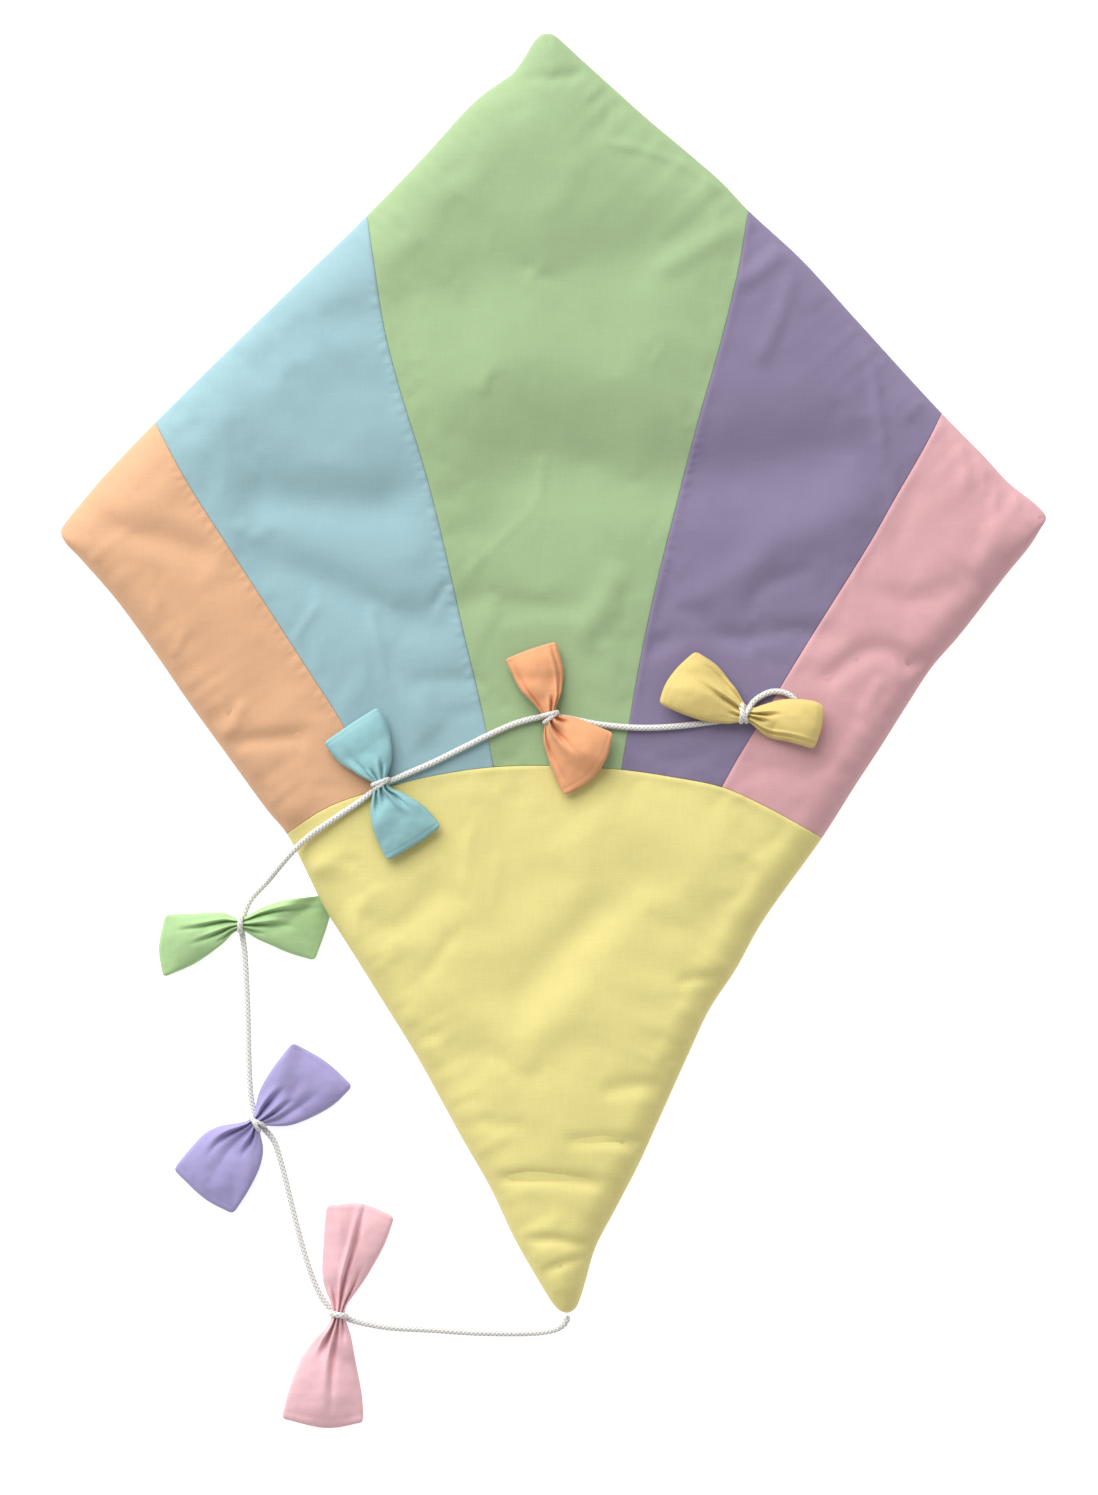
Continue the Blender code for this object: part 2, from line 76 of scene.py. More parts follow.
# Outline, anticlockwise from above, in millimetres. Each stretch starts at a seam's end.
EDGES = {
    "green": [
        (126.6, 300.6), (109.4, 318.8), (90.9, 335.1), (60.6, 360.5), (35.3, 383.3),
        (14.3, 402.3), (5.5, 410.5), (-1, 415.3), (-7.5, 415.3), (-12.5, 411), (-16.5, 404.5),
        (-21.5, 396.5), (-27, 389.5), (-34, 384.5), (-46, 376), (-57, 366), (-84, 336),
    ],
    "blue": [(-121.4, 297.4), (-191, 230)],
    "orange": [
        (-259.2, 162.8), (-284, 137), (-296, 124), (-308, 109.5), (-317, 98.5),
        (-320.5, 92.5), (-318.5, 85.5), (-307.7, 73.8), (-285.2, 48), (-262.4, 17),
        (-238, -18.5), (-213.7, -52), (-186, -90),
    ],
    "yellow": [
        (-173.6, -105), (-149, -153), (-130, -183.5), (-111, -214), (-90, -248),
        (-60.7, -301), (-41, -335.5), (-26.5, -366.3), (-11.6, -392.7), (-0.5, -410.5),
        (4.5, -415.3), (9.5, -416.3), (14, -413.5), (17.5, -406), (20.8, -395),
        (27, -374), (39.8, -349.4), (55, -320.1), (69.1, -289), (88, -247),
        (101, -219.4), (118.3, -193), (135, -163),
    ],
    "pink": [
        (174.4, -107.6), (197, -72), (211.5, -50), (228.5, -23), (245.5, 3), (264, 24.5),
        (295, 64.5), (308.5, 81), (316, 92.5), (320.2, 101), (314, 109), (296, 123.5),
        (280.3, 140.4),
    ],
    "purple": [(252.4, 168.7), (195.4, 231), (161.5, 268.3)],
}
TIPS = [(-4, 415.8), (-320.5, 92.5), (9.5, -416.3), (320.2, 101)]  # the outline's corners

# Seams of the pieced front, each from its end at the outline inwards, in millimetres
SEAMS = {
    "green_blue": [
        (-121.4, 297.4), (-116.5, 264.9), (-109.7, 222.6), (-99.9, 184),
        (-83.7, 131.6), (-73.5, 92.6), (-57.7, 23), (-47.9, -17.9), (-38.8, -61.5),
    ],
    "green_purple": [
        (126.6, 300.6), (119.8, 261.6), (108.1, 212.9), (95.1, 168), (82.1, 118.6),
        (65.8, 53.6), (56.1, 8.1), (43.7, -63.2),
    ],
    "blue_orange": [
        (-259.2, 162.8), (-236.4, 121.4), (-198.5, 62.5), (-158.4, 0.5), (-137.3, -32.5),
        (-114.9, -76.5),
    ],
    "purple_pink": [
        (252.4, 168.7), (240.7, 146.6), (220.6, 111.9), (204.2, 83), (160.1, 12.4),
        (134.1, -30.9), (117.8, -58), (108.7, -74.5),
    ],
}

# The yellow panel's top seam, from left to right, with the four seams' inner ends on it
ARC = [
    (-173.6, -105), (-146, -87.5), (-114.9, -76.5), (-80.4, -67.6), (-38.8, -61.5),
    (3, -60.8), (43.7, -63.2), (77, -68), (108.7, -74.5), (137, -87), (174.4, -107.6),
]
ARC_STOPS = [0, 2, 4, 6, 8, 10]  # the points of ARC where panels meet

# Panels as rings of lines: a name, and whether it is followed backwards
PANELS = {
    "green": [("edge_green", 0), ("green_blue", 0), ("arc_2", 0), ("green_purple", 1)],
    "blue": [("edge_blue", 0), ("blue_orange", 0), ("arc_1", 0), ("green_blue", 1)],
    "orange": [("edge_orange", 0), ("arc_0", 0), ("blue_orange", 1)],
    "yellow": [
        ("edge_yellow", 0), ("arc_4", 1), ("arc_3", 1), ("arc_2", 1), ("arc_1", 1), ("arc_0", 1),
    ],
    "pink": [("edge_pink", 0), ("purple_pink", 0), ("arc_4", 0)],
    "purple": [("edge_purple", 0), ("green_purple", 0), ("arc_3", 0), ("purple_pink", 1)],
}

# Route of the tail cord over floor and front, from the lower tip to its end, in millimetres
CORD_ROUTE = [
    (9.4, -418.6), (7.8, -422.8), (3.5, -426.6), (-4.5, -429.2), (-16, -430.4), (-50, -430.2),
    (-77, -428.5), (-114, -425.8), (-140.4, -418.4), (-149.5, -409.5), (-155.5, -398.5),
    (-163, -376.5), (-171, -346), (-177.5, -320), (-182.5, -305), (-192.3, -292.6),
    (-196.8, -280), (-198.4, -262), (-199.5, -221), (-201.3, -184), (-203, -163.5),
    (-198.2, -149), (-186, -135.5), (-169, -116), (-158, -106), (-142.3, -95),
    (-126.6, -84.5), (-111.6, -73.5), (-99.5, -67.8), (-79.2, -59), (-58, -48.6),
    (-37.7, -38.6), (-21, -32), (-2.8, -28.6), (32.7, -34.3), (61.7, -36), (95, -33.2),
    (121.5, -27.5), (131, -17.5), (141.5, -12.6), (152, -14.6), (159, -22),
]

# Bows: the knot, the wings' outline round it (anticlockwise, in millimetres), which of its
# points are a waist side, two corners, the other waist side and two corners, the way that the
# hitch's turn crosses the waist (degrees from +X), the width of the waist (mm), the swing each
# way (degrees), the panels that the bow lies on, and the pleats of the first and of the
# second wing: place across at the waist and further out (0 to 1), share of the wing that they
# reach, depth in millimetres and width as a share of the wing's. Turns are the hitch's passes
# over the waist: offset along the bow in millimetres, lean in degrees, radius in millimetres.
BOWS = {
    "pink": {
        "knot": (-140.2, -417.6),
        "loop": [
            (7.2, 3), (12, 14), (19.5, 26), (29.9, 45), (36.4, 63.1), (15.6, 71.5),
            (-7.8, 70.9), (-9.8, 46.2), (-10.4, 24.7), (-7.5, 10), (-6.8, 0),
            (-9.5, -8), (-15.6, -16.3), (-24.1, -28.6), (-32.5, -50.1), (-37.4, -68.5),
            (-7.2, -74.8), (16.3, -70.9), (15, -52.7), (11.1, -31.2), (8.5, -15), (7, -5),
        ],
        "corners": (0, 4, 6, 10, 15, 17), "band": -10, "waist": 8.4,
        "swing": 15, "lies_on": [],
        "pleats": (
            [(0.5, 0.45, 1.3, 3.4, 0.04), (0.2, 0.22, 0.5, 3, 0.05), (0.78, 0.74, 0.3, 3, 0.06)],
            [(0.66, 0.62, 0.5, 3.6, 0.06), (0.42, 0.4, 1, 2.6, 0.05), (0.2, 0.16, 0.3, 2.2, 0.05)],
        ),
        "turns": [(0, 0, 2)],
    },
    "purple": {
        "knot": (-193.5, -292.8),
        "loop": [
            (5.5, -6), (13, -4.2), (24.7, -1.3), (37.7, 3.9), (50.7, 11.7), (62.4, 23.4),
            (45.5, 39), (23.4, 52), (11.7, 37.1), (3.9, 24.7), (-1, 14), (-5.5, 6),
            (-14, 0.5), (-26, -3.3), (-34, -7.5), (-44.9, -18.9), (-54.6, -31),
            (-33.2, -50.7), (-15.5, -60), (-5.2, -44.2), (2, -29.3), (5, -16.3),
        ],
        "corners": (0, 5, 7, 11, 16, 18), "band": 134, "waist": 9,
        "swing": 15, "lies_on": [],
        "pleats": (
            [(0.72, 0.62, 0.6, 3.8, 0.05), (0.45, 0.42, 0.55, 3.4, 0.045),
             (0.24, 0.3, 0.9, 1.6, 0.07)],
            [(0.8, 0.72, 0.75, 3.4, 0.045), (0.4, 0.28, 0.5, 3.2, 0.05), (0.6, 0.5, 1.1, 1.8, 0.1)],
        ),
        "turns": [(-0.9, 20, 1.4), (1, -16, 1.4)],
    },
    "green": {
        "knot": (-203.9, -163.5),
        "loop": [
            (0, -7), (6, -8.5), (17.6, -13), (30.6, -18.9), (48.1, -24.1), (56, -2),
            (61.8, 20.2), (51.4, 18.2), (38.4, 16.9), (26.7, 15), (13, 10.4), (5, 7.5),
            (-1, 6.5), (-9.8, 7.5), (-29.9, 6.6), (-49.4, 5.8), (-53.5, -16),
            (-50.7, -35.1), (-29.9, -26), (-13, -14.3), (-5, -8.5),
        ],
        "corners": (0, 4, 6, 12, 15, 17), "band": 92, "waist": 8,
        "swing": 10, "lies_on": [],
        "pleats": (
            [(0.78, 0.8, 1, 2.8, 0.04), (0.45, 0.5, 0.7, 3, 0.05), (0.22, 0.2, 0.35, 2.4, 0.05)],
            [(0.7, 0.72, 0.9, 3, 0.04), (0.4, 0.42, 0.7, 3, 0.045), (0.18, 0.15, 0.35, 2.4, 0.05)],
        ),
        "turns": [(0, -4, 1.9)],
    },
    "blue": {
        "knot": (-111.6, -71.8),
        "loop": [
            (6.3, 3), (7.2, 16.3), (6.4, 29.3), (3.9, 39), (-1.95, 49.4), (-20, 38),
            (-37.1, 26), (-27.3, 13.7), (-15.5, 5.9), (-7, -2), (-6.5, -10),
            (-6.8, -20), (-3.9, -33), (3.9, -50.1), (22, -40), (39, -28),
            (28.6, -15.5), (15, -6.5), (8, -2.5),
        ],
        "corners": (0, 4, 6, 9, 13, 15), "band": 28, "waist": 9.2,
        "swing": 15, "lies_on": ["blue", "yellow"],
        "pleats": (
            [(0.34, 0.25, 0.4, 3.2, 0.05), (0.62, 0.64, 0.32, 3, 0.05),
             (0.82, 0.75, 0.9, 1.4, 0.07)],
            [(0.25, 0.2, 0.65, 3.2, 0.05), (0.54, 0.6, 0.35, 3, 0.05), (0.8, 0.84, 0.5, 2.6, 0.05)],
        ),
        "turns": [(-0.9, 9, 1.4), (0.9, -7, 1.4)],
    },
    "orange": {
        "knot": (-2.4, -28.3),
        "loop": [
            (6.5, 5), (7.8, 17), (8.6, 30), (3.9, 48.1), (-13, 43), (-29.3, 36.4),
            (-19.5, 16.9), (-9.5, 5.5), (-6.5, -4), (-3.8, -19), (1.3, -35.1),
            (9.1, -51.4), (26, -41.6), (35.8, -28.6), (41, -11.1), (28, -5.5),
            (16.3, -1), (9, 1.5),
        ],
        "corners": (0, 3, 5, 8, 11, 14), "band": 28, "waist": 9,
        "swing": 15, "lies_on": ["green", "yellow"],
        "pleats": (
            [(0.12, 0.1, 1.3, 1.8, 0.035), (0.4, 0.25, 0.3, 3.4, 0.07),
             (0.88, 0.9, 1.3, 1.6, 0.03)],
            [(0.24, 0.3, 0.4, 4, 0.07), (0.58, 0.5, 0.75, 3.6, 0.05), (0.9, 0.9, 1.1, 1.6, 0.03)],
        ),
        "turns": [(-1.2, 10, 1.5), (1.2, -14, 1.5)],
    },
    "yellow": {
        "knot": (122.4, -27.0),
        "loop": [
            (2, -8), (7.8, -10.4), (16.9, -15.6), (28.6, -18), (45.5, -22.8),
            (50, -10), (52, 4.6), (46.8, 7.8), (34.5, 9.6), (24.1, 9.1), (12.4, 6.5),
            (4, 7), (-6.5, 18.5), (-16.9, 31.2), (-31, 40.6), (-43, 29.5), (-50.5, 19),
            (-54.8, 6.8),
            (-42.3, 1), (-26, -4.6), (-13, -6.5), (-5, -7.5),
        ],
        "corners": (0, 4, 6, 11, 14, 17), "band": 72, "waist": 9.6,
        "swing": 15, "lies_on": ["purple", "pink"],
        "pleats": (
            [(0.14, 0.12, 1.3, 1.5, 0.03), (0.42, 0.4, 0.35, 3.4, 0.05), (0.64, 0.6, 0.5, 3, 0.05)],
            [(0.6, 0.58, 0.8, 3.8, 0.045), (0.88, 0.88, 1, 1.3, 0.03),
             (0.32, 0.34, 0.28, 2.4, 0.05)],
        ),
        "turns": [(-1.3, -14, 1.6), (1.2, 14, 1.6), (0.2, 40, 1.5)],
    },
}

# ---- looks

LIT = 1.25  # how much brighter than its base colour a level white surface comes out

# Colours as they look in the studio light, sRGB 0 to 255
PANEL_COLOURS = {
    "green": (168, 194, 146),
    "blue": (159, 194, 201),
    "orange": (232, 182, 142),
    "yellow": (242, 229, 149),
    "pink": (227, 175, 180),
    "purple": (141, 129, 160),
}
BOW_COLOURS = {
    "pink": (250, 201, 208),
    "purple": (176, 167, 217),
    "green": (183, 220, 158),
    "blue": (156, 204, 208),
    "orange": (245, 176, 128),
    "yellow": (234, 210, 132),
}
CORD_COLOUR = (255, 254, 251)
# painted shade: the cord's white darkened where shade falls between the braid's strands
CORD_GAP_SHADE = (204, 201, 195)
BACK_COLOUR = (233, 227, 212)
FILLING_COLOUR = (240, 239, 234)

BACK_INSET = 0.7 * MM  # how far the back's edge stays inside the front's
SEAM_GAP = 0.03 * MM  # half the clearance between two panels
FINE_STEP = 2.8 * MM  # spacing of points over a front panel
COARSE_STEP = 14 * MM  # spacing of points over a hidden layer
LOOP_STEP = 2 * MM  # spacing of points along outline and seams
SEAM_ROWS = [0.8, 1.8, 3.1, 4.8, 7]  # rows of points beside a seam, in millimetres from it
BACK_ROWS = [2, 4, 7, 10, 14, 18, 23, 28]  # the same along the edge of the back
FILLING_INSET = 8 * MM  # how far the filling's edge stays inside the sewn edge
FILLING_STEP = 9 * MM
FILLING_DEPTH = 11 * MM  # how far its top stays under the front's usual height

GROOVE = 0.2 * MM  # how far the lower of two panels dips at their seam
GROOVE_WIDTH = 1.2 * MM
WELT = 0.8 * MM  # rise of the panel that the seam's allowance lies under
WELT_WIDTH = 5 * MM
ROLL = 1 * MM  # width over which that panel rolls down into the seam
PUCKER = 0.6 * MM  # height of the puckers along a seam
PUCKER_PITCH = 6.5 * MM
PUCKER_PLACE = 3 * MM  # their distance from the seam
PUCKER_LENGTH = 2.4 * MM
PUCKER_ENDS = 20  # length over which a puckered stretch starts and stops, in mm
SEAM_SAG = 0.8 * MM  # the wide hollow along a seam
SEAM_SAG_WIDTH = 16 * MM
# The panel that stands up along each seam, and the stretch of it that is puckered, in mm
RAISED = {
    "green_blue": ("blue", (30, 340)),
    "green_purple": ("purple", (140, 250)),
    "blue_orange": ("orange", (20, 250)),
    "purple_pink": ("pink", (0, 0)),
    "arc": ("yellow", (0, 0)),
}

EDGE_WRINKLE = 1.9 * MM  # height of the wrinkles that run in from the sewn edge
EDGE_WRINKLE_REACH = 22 * MM
WRINKLE_PITCHES = (15 * MM, 6.5 * MM)  # distance between those wrinkles, wide and narrow ones
QUIET = 5 * MM  # band beside cord and bows where the front stays smooth
QUIET_FADE = 16 * MM
CONTACT = 0.1 * MM  # how far the cover stays under the frame's front where cord or bow lie on it
CALM_EDGE = (10 * MM, 8 * MM)  # band along the edge where folds, and where wrinkles, fade out

# Layers of unevenness: height in millimetres, waves a metre, seed
RIM_WAVES = (1, 14, 3)
COVER_WAVES = [(0.5, 22, 11), (0.25, 60, 12)]
SLACK_WAVES = (0.5, 45, 31)  # of the cover before its simulation
FLUFF = (0.6, 60, 21)
BOW_WAVES = [(1.5, 50), (0.35, 160)]

# Folds (up) and valleys (down) of the padded front, panel by panel from the top: points,
# half width and height in millimetres
FOLDS = [
    # across green, blue and purple: three wide waves
    ([(-130, 232), (-60, 246), (20, 262), (110, 285)], 24, -3),
    ([(-110, 185), (0, 190), (90, 195)], 32, 3),
    ([(-75, 128), (0, 126), (85, 126), (150, 133), (225, 150)], 26, -6),
    ([(50, 14), (100, 20), (150, 25), (190, 24)], 8, -2.4),
    # green
    ([(-22, 386), (0, 385), (20, 389)], 4, -1.5),
    ([(20, 370), (33, 384)], 3, 0.8),
    ([(35, 384), (34, 350)], 2, -0.7),
    ([(28, 344), (55, 339), (82, 330), (112, 312)], 3, 1.1),
    ([(-20, 290), (8, 310), (12, 340)], 9, 0.8),
    ([(-42, 270), (-41, 288)], 2, 0.4),
    ([(62, 256), (90, 272), (122, 292)], 8, 2.2),
    ([(63, 196), (70, 212)], 2.5, 0.5),
    ([(-46, 178), (-41, 196)], 3, 0.6),
    ([(-62, 58), (-35, 85), (-12, 110), (-5, 150)], 2.5, 0.4),
    ([(-75, 45), (-30, 44), (20, 40)], 10, -2),
    ([(5, 15), (30, 40), (45, 72)], 9, 2.2),
    ([(-38, -30), (-28, -18), (-20, -8)], 4, -0.7),
    # blue
    ([(-205, 185), (-165, 215), (-115, 238)], 14, -2.5),
    ([(-205, 212), (-202, 190)], 3, -0.8),
    ([(-240, 185), (-232, 160)], 4, 0.6),
    ([(-215, 116), (-160, 110), (-115, 108), (-80, 110)], 18, -6),
    ([(-215, 80), (-160, 62), (-100, 36), (-60, 30)], 14, -3.8),
    ([(-169, 20), (-160, 33), (-150, 47)], 2.5, 0.7),
    ([(-119, 50), (-113, 15), (-103, -25)], 3, 0.8),
    ([(-79, 40), (-74, 50), (-66, 60)], 3, -1.4),
    ([(-95, -6), (-70, -5), (-40, -5)], 6, -1.2),
    ([(-140, -24), (-105, -32), (-70, -28)], 18, 3),
    # orange
    ([(-300, 96), (-260, 88), (-215, 72)], 10, -3),
    ([(-260, 66), (-257, 48), (-259, 30)], 3, 0.6),
    ([(-250, 10), (-243, 16), (-239, 28)], 3, 1),
    ([(-226, -38), (-214, -31), (-206, -20)], 3.5, -0.8),
    ([(-224, -42), (-209, -36), (-200, -18)], 3.5, 1),
    ([(-215, -50), (-195, -44), (-150, -42)], 6, -2.5),
    ([(-196, -80), (-186, -76)], 3, -1.2),
    # purple
    ([(118, 250), (135, 262), (155, 278)], 6, 2),
    ([(130, 195), (145, 228), (158, 265)], 6, 1.6),
    ([(197, 225), (208, 190), (211, 160), (214, 135)], 4, 1.3),
    ([(222, 170), (238, 182)], 14, 1.5),
    ([(120, 80), (170, 95), (215, 115)], 18, 3),
    ([(82, 40), (108, 58), (150, 82)], 10, 1.4),
    ([(122, 42), (138, 56), (172, 68)], 6, -1.1),
    # pink
    ([(258, 165), (266, 140), (266, 115)], 4, 1.2),
    ([(272, 152), (279, 130), (280, 112)], 3.2, 1.2),
    ([(283, 140), (287, 120), (284, 100)], 3.5, 1.2),
    ([(300, 118), (302, 104)], 2.5, 0.8),
    ([(240, 125), (228, 100), (218, 75)], 6, -0.8),
    ([(293, 105), (282, 80), (270, 62)], 7, 1.2),
    ([(195, 52), (240, 50), (280, 60)], 9, -1.5),
    ([(165, -18), (185, 2), (208, 14), (240, 4)], 7, -2.4),
    ([(222, 2), (246, 9)], 7, -2.2),
    ([(214, -2), (205, -18), (196, -30)], 4, 0.9),
    ([(214, -30), (226, -32)], 3.5, -1.5),
    ([(120, -68), (150, -60), (180, -60)], 8, -1.2),
    ([(184, -66), (200, -64)], 4, -1),
    # yellow
    ([(50, -140), (5, -180), (-35, -225)], 14, -2.2),
    ([(-85, -200), (-72, -180), (-60, -165)], 5, -0.9),
    ([(-125, -172), (-95, -160), (-65, -130)], 10, -1.3),
    ([(-30, -255), (-2, -228), (30, -200)], 14, 1.8),
    ([(-52, -90), (-60, -150)], 4, 0.4),
    ([(-35, -115), (-40, -155)], 4, 0.4),
    ([(78, -201), (98, -198), (120, -198)], 4, -1.6),
    ([(-100, -236), (-70, -234)], 5, -0.8),
    ([(68, -256), (88, -248)], 4, -1),
    ([(28, -272), (50, -268), (74, -266)], 6, -1.8),
    ([(-45, -293), (-15, -294)], 5, -0.8),
    ([(5, -303), (35, -303), (66, -305)], 4.5, -1.8),
    ([(-46, -328), (-10, -327), (35, -331)], 4.5, -2.4),
    ([(-24, -368), (0, -367), (27, -373)], 3.5, -2.4),
    ([(-12, -389), (8, -382), (26, -379)], 3, -1.8),
]


# ---- flat curves


def curve_segments(points, closed=False, step=LOOP_STEP):
    """Centripetal Catmull-Rom curve through points, as one run of points per segment."""
    points = np.array(points, float) * MM
    if closed:
        padded = np.vstack([points[-1:], points, points[:2]])
    else:
        before = 2 * points[:1] - points[1:2]
        after = 2 * points[-1:] - points[-2:-1]
        padded = np.vstack([before, points, after])
    runs = []
    for a, b, c, d in zip(padded, padded[1:], padded[2:], padded[3:]):
        ab, bc, cd = (math.sqrt(np.linalg.norm(v)) for v in (b - a, c - b, d - c))
        leave = bc * ((b - a) / ab - (c - a) / (ab + bc) + (c - b) / bc)
        arrive = bc * ((c - b) / bc - (d - b) / (bc + cd) + (d - c) / cd)
        count = max(1, round(np.linalg.norm(c - b) / step))
        t = np.arange(count)[:, None] / count
        runs.append(
            (2 * t**3 - 3 * t**2 + 1) * b
            + (t**3 - 2 * t**2 + t) * leave
            + (3 * t**2 - 2 * t**3) * c
            + (t**3 - t**2) * arrive
        )
    return runs


def open_curve(points, step=LOOP_STEP):
    """The whole curve through open points, both ends included."""
    return np.vstack([*curve_segments(points, step=step), np.array([points[-1]]) * MM])


def run_along(line):
    """Distance along a line at each of its points."""
    return np.cumsum([0, *np.linalg.norm(np.diff(line, axis=0), axis=1)])


def resample(line, count):
    """Evenly spaced points along a line."""
    run = run_along(line)
    even = np.linspace(0, run[-1], count)
    return np.column_stack([np.interp(even, run, line[:, i]) for i in range(line.shape[1])])


def panel_lines():
    """Every edge stretch, seam and arc piece by name, each with both of its ends."""
    lines = {}
    corners = [p for stretch in EDGES.values() for p in stretch]
    runs = curve_segments(corners, closed=True)
    start = 0
    for name, stretch in EDGES.items():
        stop = start + len(stretch)
        end = runs[stop % len(runs)][:1]
        lines[f"edge_{name}"] = np.vstack([*runs[start:stop], end])
        start = stop
    for name, points in SEAMS.items():
        lines[name] = open_curve(points)
    arc = curve_segments(ARC)
    for i, (start, stop) in enumerate(zip(ARC_STOPS, ARC_STOPS[1:])):
        lines[f"arc_{i}"] = np.vstack([*arc[start:stop], np.array([ARC[stop]]) * MM])
    return lines


def joined(lines, ring):
    """One closed loop out of named lines, each given with whether it runs backwards."""
    return np.vstack([(lines[name][::-1] if back else lines[name])[:-1] for name, back in ring])


def nearest_on(points, line):
    """Distance from each point to an open line, and the distance along it to the spot."""
    tree = KDTree(len(line))
    for i, (x, y) in enumerate(line):
        tree.insert((x, y, 0), i)
    tree.balance()
    near = np.array([tree.find((x, y, 0))[1] for x, y in points], int)
    run = run_along(line)
    distance = np.full(len(points), np.inf)
    along = np.zeros(len(points))
    for start in (np.maximum(near - 1, 0), np.minimum(near, len(line) - 2)):
        side = line[start + 1] - line[start]
        length = np.linalg.norm(side, axis=1)
        away = points - line[start]
        t = np.clip((away * side).sum(1) / length**2, 0, 1)
        gap = np.linalg.norm(away - t[:, None] * side, axis=1)
        closer = gap < distance
        distance = np.where(closer, gap, distance)
        along = np.where(closer, run[start] + t * length, along)
    return distance, along


def closed(loop):
    """A loop as an open line that ends where it starts."""
    return np.vstack([loop, loop[:1]])


def edge_distance(points, loop):
    """Distance from each point to a loop's sides."""
    return nearest_on(points, closed(loop))[0]


def is_inside(points, loop):
    """Whether each point is inside a loop, by counting the sides to its right."""
    x, y = points.T
    inside = np.zeros(len(points), bool)
    for (x0, y0), (x1, y1) in zip(loop, np.roll(loop, -1, 0)):
        if y0 == y1:
            continue
        spans = (y0 > y) != (y1 > y)
        inside ^= spans & (x < x0 + (y - y0) * (x1 - x0) / (y1 - y0))
    return inside


def inset(loop, distance):
    """The loop moved inwards, without the points that its corners swallow."""
    before = loop - np.roll(loop, 1, 0)
    after = np.roll(loop, -1, 0) - loop
    normals = [np.stack([-v[:, 1], v[:, 0]], 1) / np.linalg.norm(v, axis=1)[:, None]
               for v in (before, after)]
    total = normals[0] + normals[1]
    moved = loop + distance * 2 * total / (total**2).sum(1)[:, None]
    keep = is_inside(moved, loop) & (edge_distance(moved, loop) > 0.97 * distance)
    return moved[keep]


def grid_inside(loop, step, margin):
    """Staggered grid of points inside a loop, at least margin from its sides."""
    low = loop.min(0)
    high = loop.max(0)
    rows = np.arange(low[1], high[1], step * math.sqrt(3) / 2)
    points = [
        (x + (i % 2) * step / 2, y)
        for i, y in enumerate(rows)
        for x in np.arange(low[0], high[0], step)
    ]
    points = np.array(points)
    points = points[is_inside(points, loop)]
    return points[edge_distance(points, loop) > margin]


# ---- the frame's heights


def bulge(t):
    """Quarter circle from 0 at t = 0 up to 1 at t = 1 and beyond."""
    return np.sqrt(1 - (1 - np.clip(t, 0, 1)) ** 2)


def smooth_step(t):
    """Smooth rise from 0 at t = 0 to 1 at t = 1."""
    t = np.clip(t, 0, 1)
    return t * t * (3 - 2 * t)


LINES = panel_lines()
OUTLINE = joined(LINES, [(f"edge_{name}", False) for name in EDGES])


def cad_front(points):
    """Height of the frame's front, which cord and bows lie on."""
    rise = bulge(edge_distance(points, OUTLINE) / SHOULDER)
    return RIM_HEIGHT + GAP / 2 + LOFT * rise + CLOTH


def cord_path(count):
    """Points along the tail cord's centre, over the floor and up onto the front."""
    route = np.vstack(curve_segments(CORD_ROUTE, step=CORD_RADIUS))
    run = run_along(route)
    inside = is_inside(route, OUTLINE)
    reach = edge_distance(route, OUTLINE)
    near = inside | (reach < CLIMB_EASE)
    inner = np.where(inside, reach, 0)
    top = RIM_HEIGHT + GAP / 2 + CLOTH + LOFT * bulge((inner + CORD_LEAN) / SHOULDER)
    bed = np.where(near & (run > CLIMB_START), top, 0)
    climb = (bed - CLIMB_SLOPE * abs(run[:, None] - run)).max(1)
    width = round(CLIMB_EASE / CORD_RADIUS)
    ends = np.pad(climb, width, mode="edge")
    eased = np.convolve(ends, np.full(2 * width + 1, 1 / (2 * width + 1)), "valid")
    drop = (RIM_HEIGHT - CORD_LAY) * (1 - smooth_step(run / SEWN_DROP))
    return resample(np.column_stack([route, eased + CORD_LAY + drop]), count)


CORD = cord_path(300)


def over_cord(points, bed):
    """Height of a bow's bed with a wide hump where the cord runs over it."""
    distance, along = nearest_on(points, CORD[:, :2])
    cord_top = np.interp(along, run_along(CORD[:, :2]), CORD[:, 2]) + CORD_RADIUS
    fade = 1 - smooth_step((distance - HUMP_FLAT) / (HUMP_END - HUMP_FLAT))
    return np.maximum(bed, bed + fade * (cord_top - bed))


def bow_bottom(points, bow):
    """Height that clears floor, front and cord at every angle of the bow's swing."""
    knot = np.array(bow["knot"]) * MM
    heights = []
    for angle in np.radians(np.linspace(-bow["swing"], bow["swing"], SWING_STEPS)):
        turn = np.array([[math.cos(angle), math.sin(angle)], [-math.sin(angle), math.cos(angle)]])
        swung = knot + (points - knot) @ turn
        bed = cad_front(swung) if bow["lies_on"] else np.zeros(len(swung))
        heights.append(over_cord(swung, bed))
    return np.max(heights, axis=0) + BOW_LAY


# ---- the padded body


def outline_sides():
    """The outline's four sides, cut at its tips."""
    cuts = [int(np.linalg.norm(OUTLINE - np.array(tip) * MM, axis=1).argmin()) for tip in TIPS]
    start = cuts[0]
    loop = np.roll(OUTLINE, -start, 0)
    cuts = [(cut - start) % len(loop) for cut in cuts] + [len(loop)]
    ring = closed(loop)
    return [ring[a:b + 1] for a, b in zip(cuts, cuts[1:])]


SIDES = outline_sides()
SIDE_SHAPES = [(39, 1.3), (17, 1), (20, 1), (44, 1.4)]  # rounding of each: width in mm, power
BLEND = 3  # how sharply one side's rounding gives way to the next one's
CROWN = 0.15  # share of the loft that rises slowly towards the middle
CROWN_REACH = 3  # how much further in than the rounding that share goes on rising
TINY = 1e-5


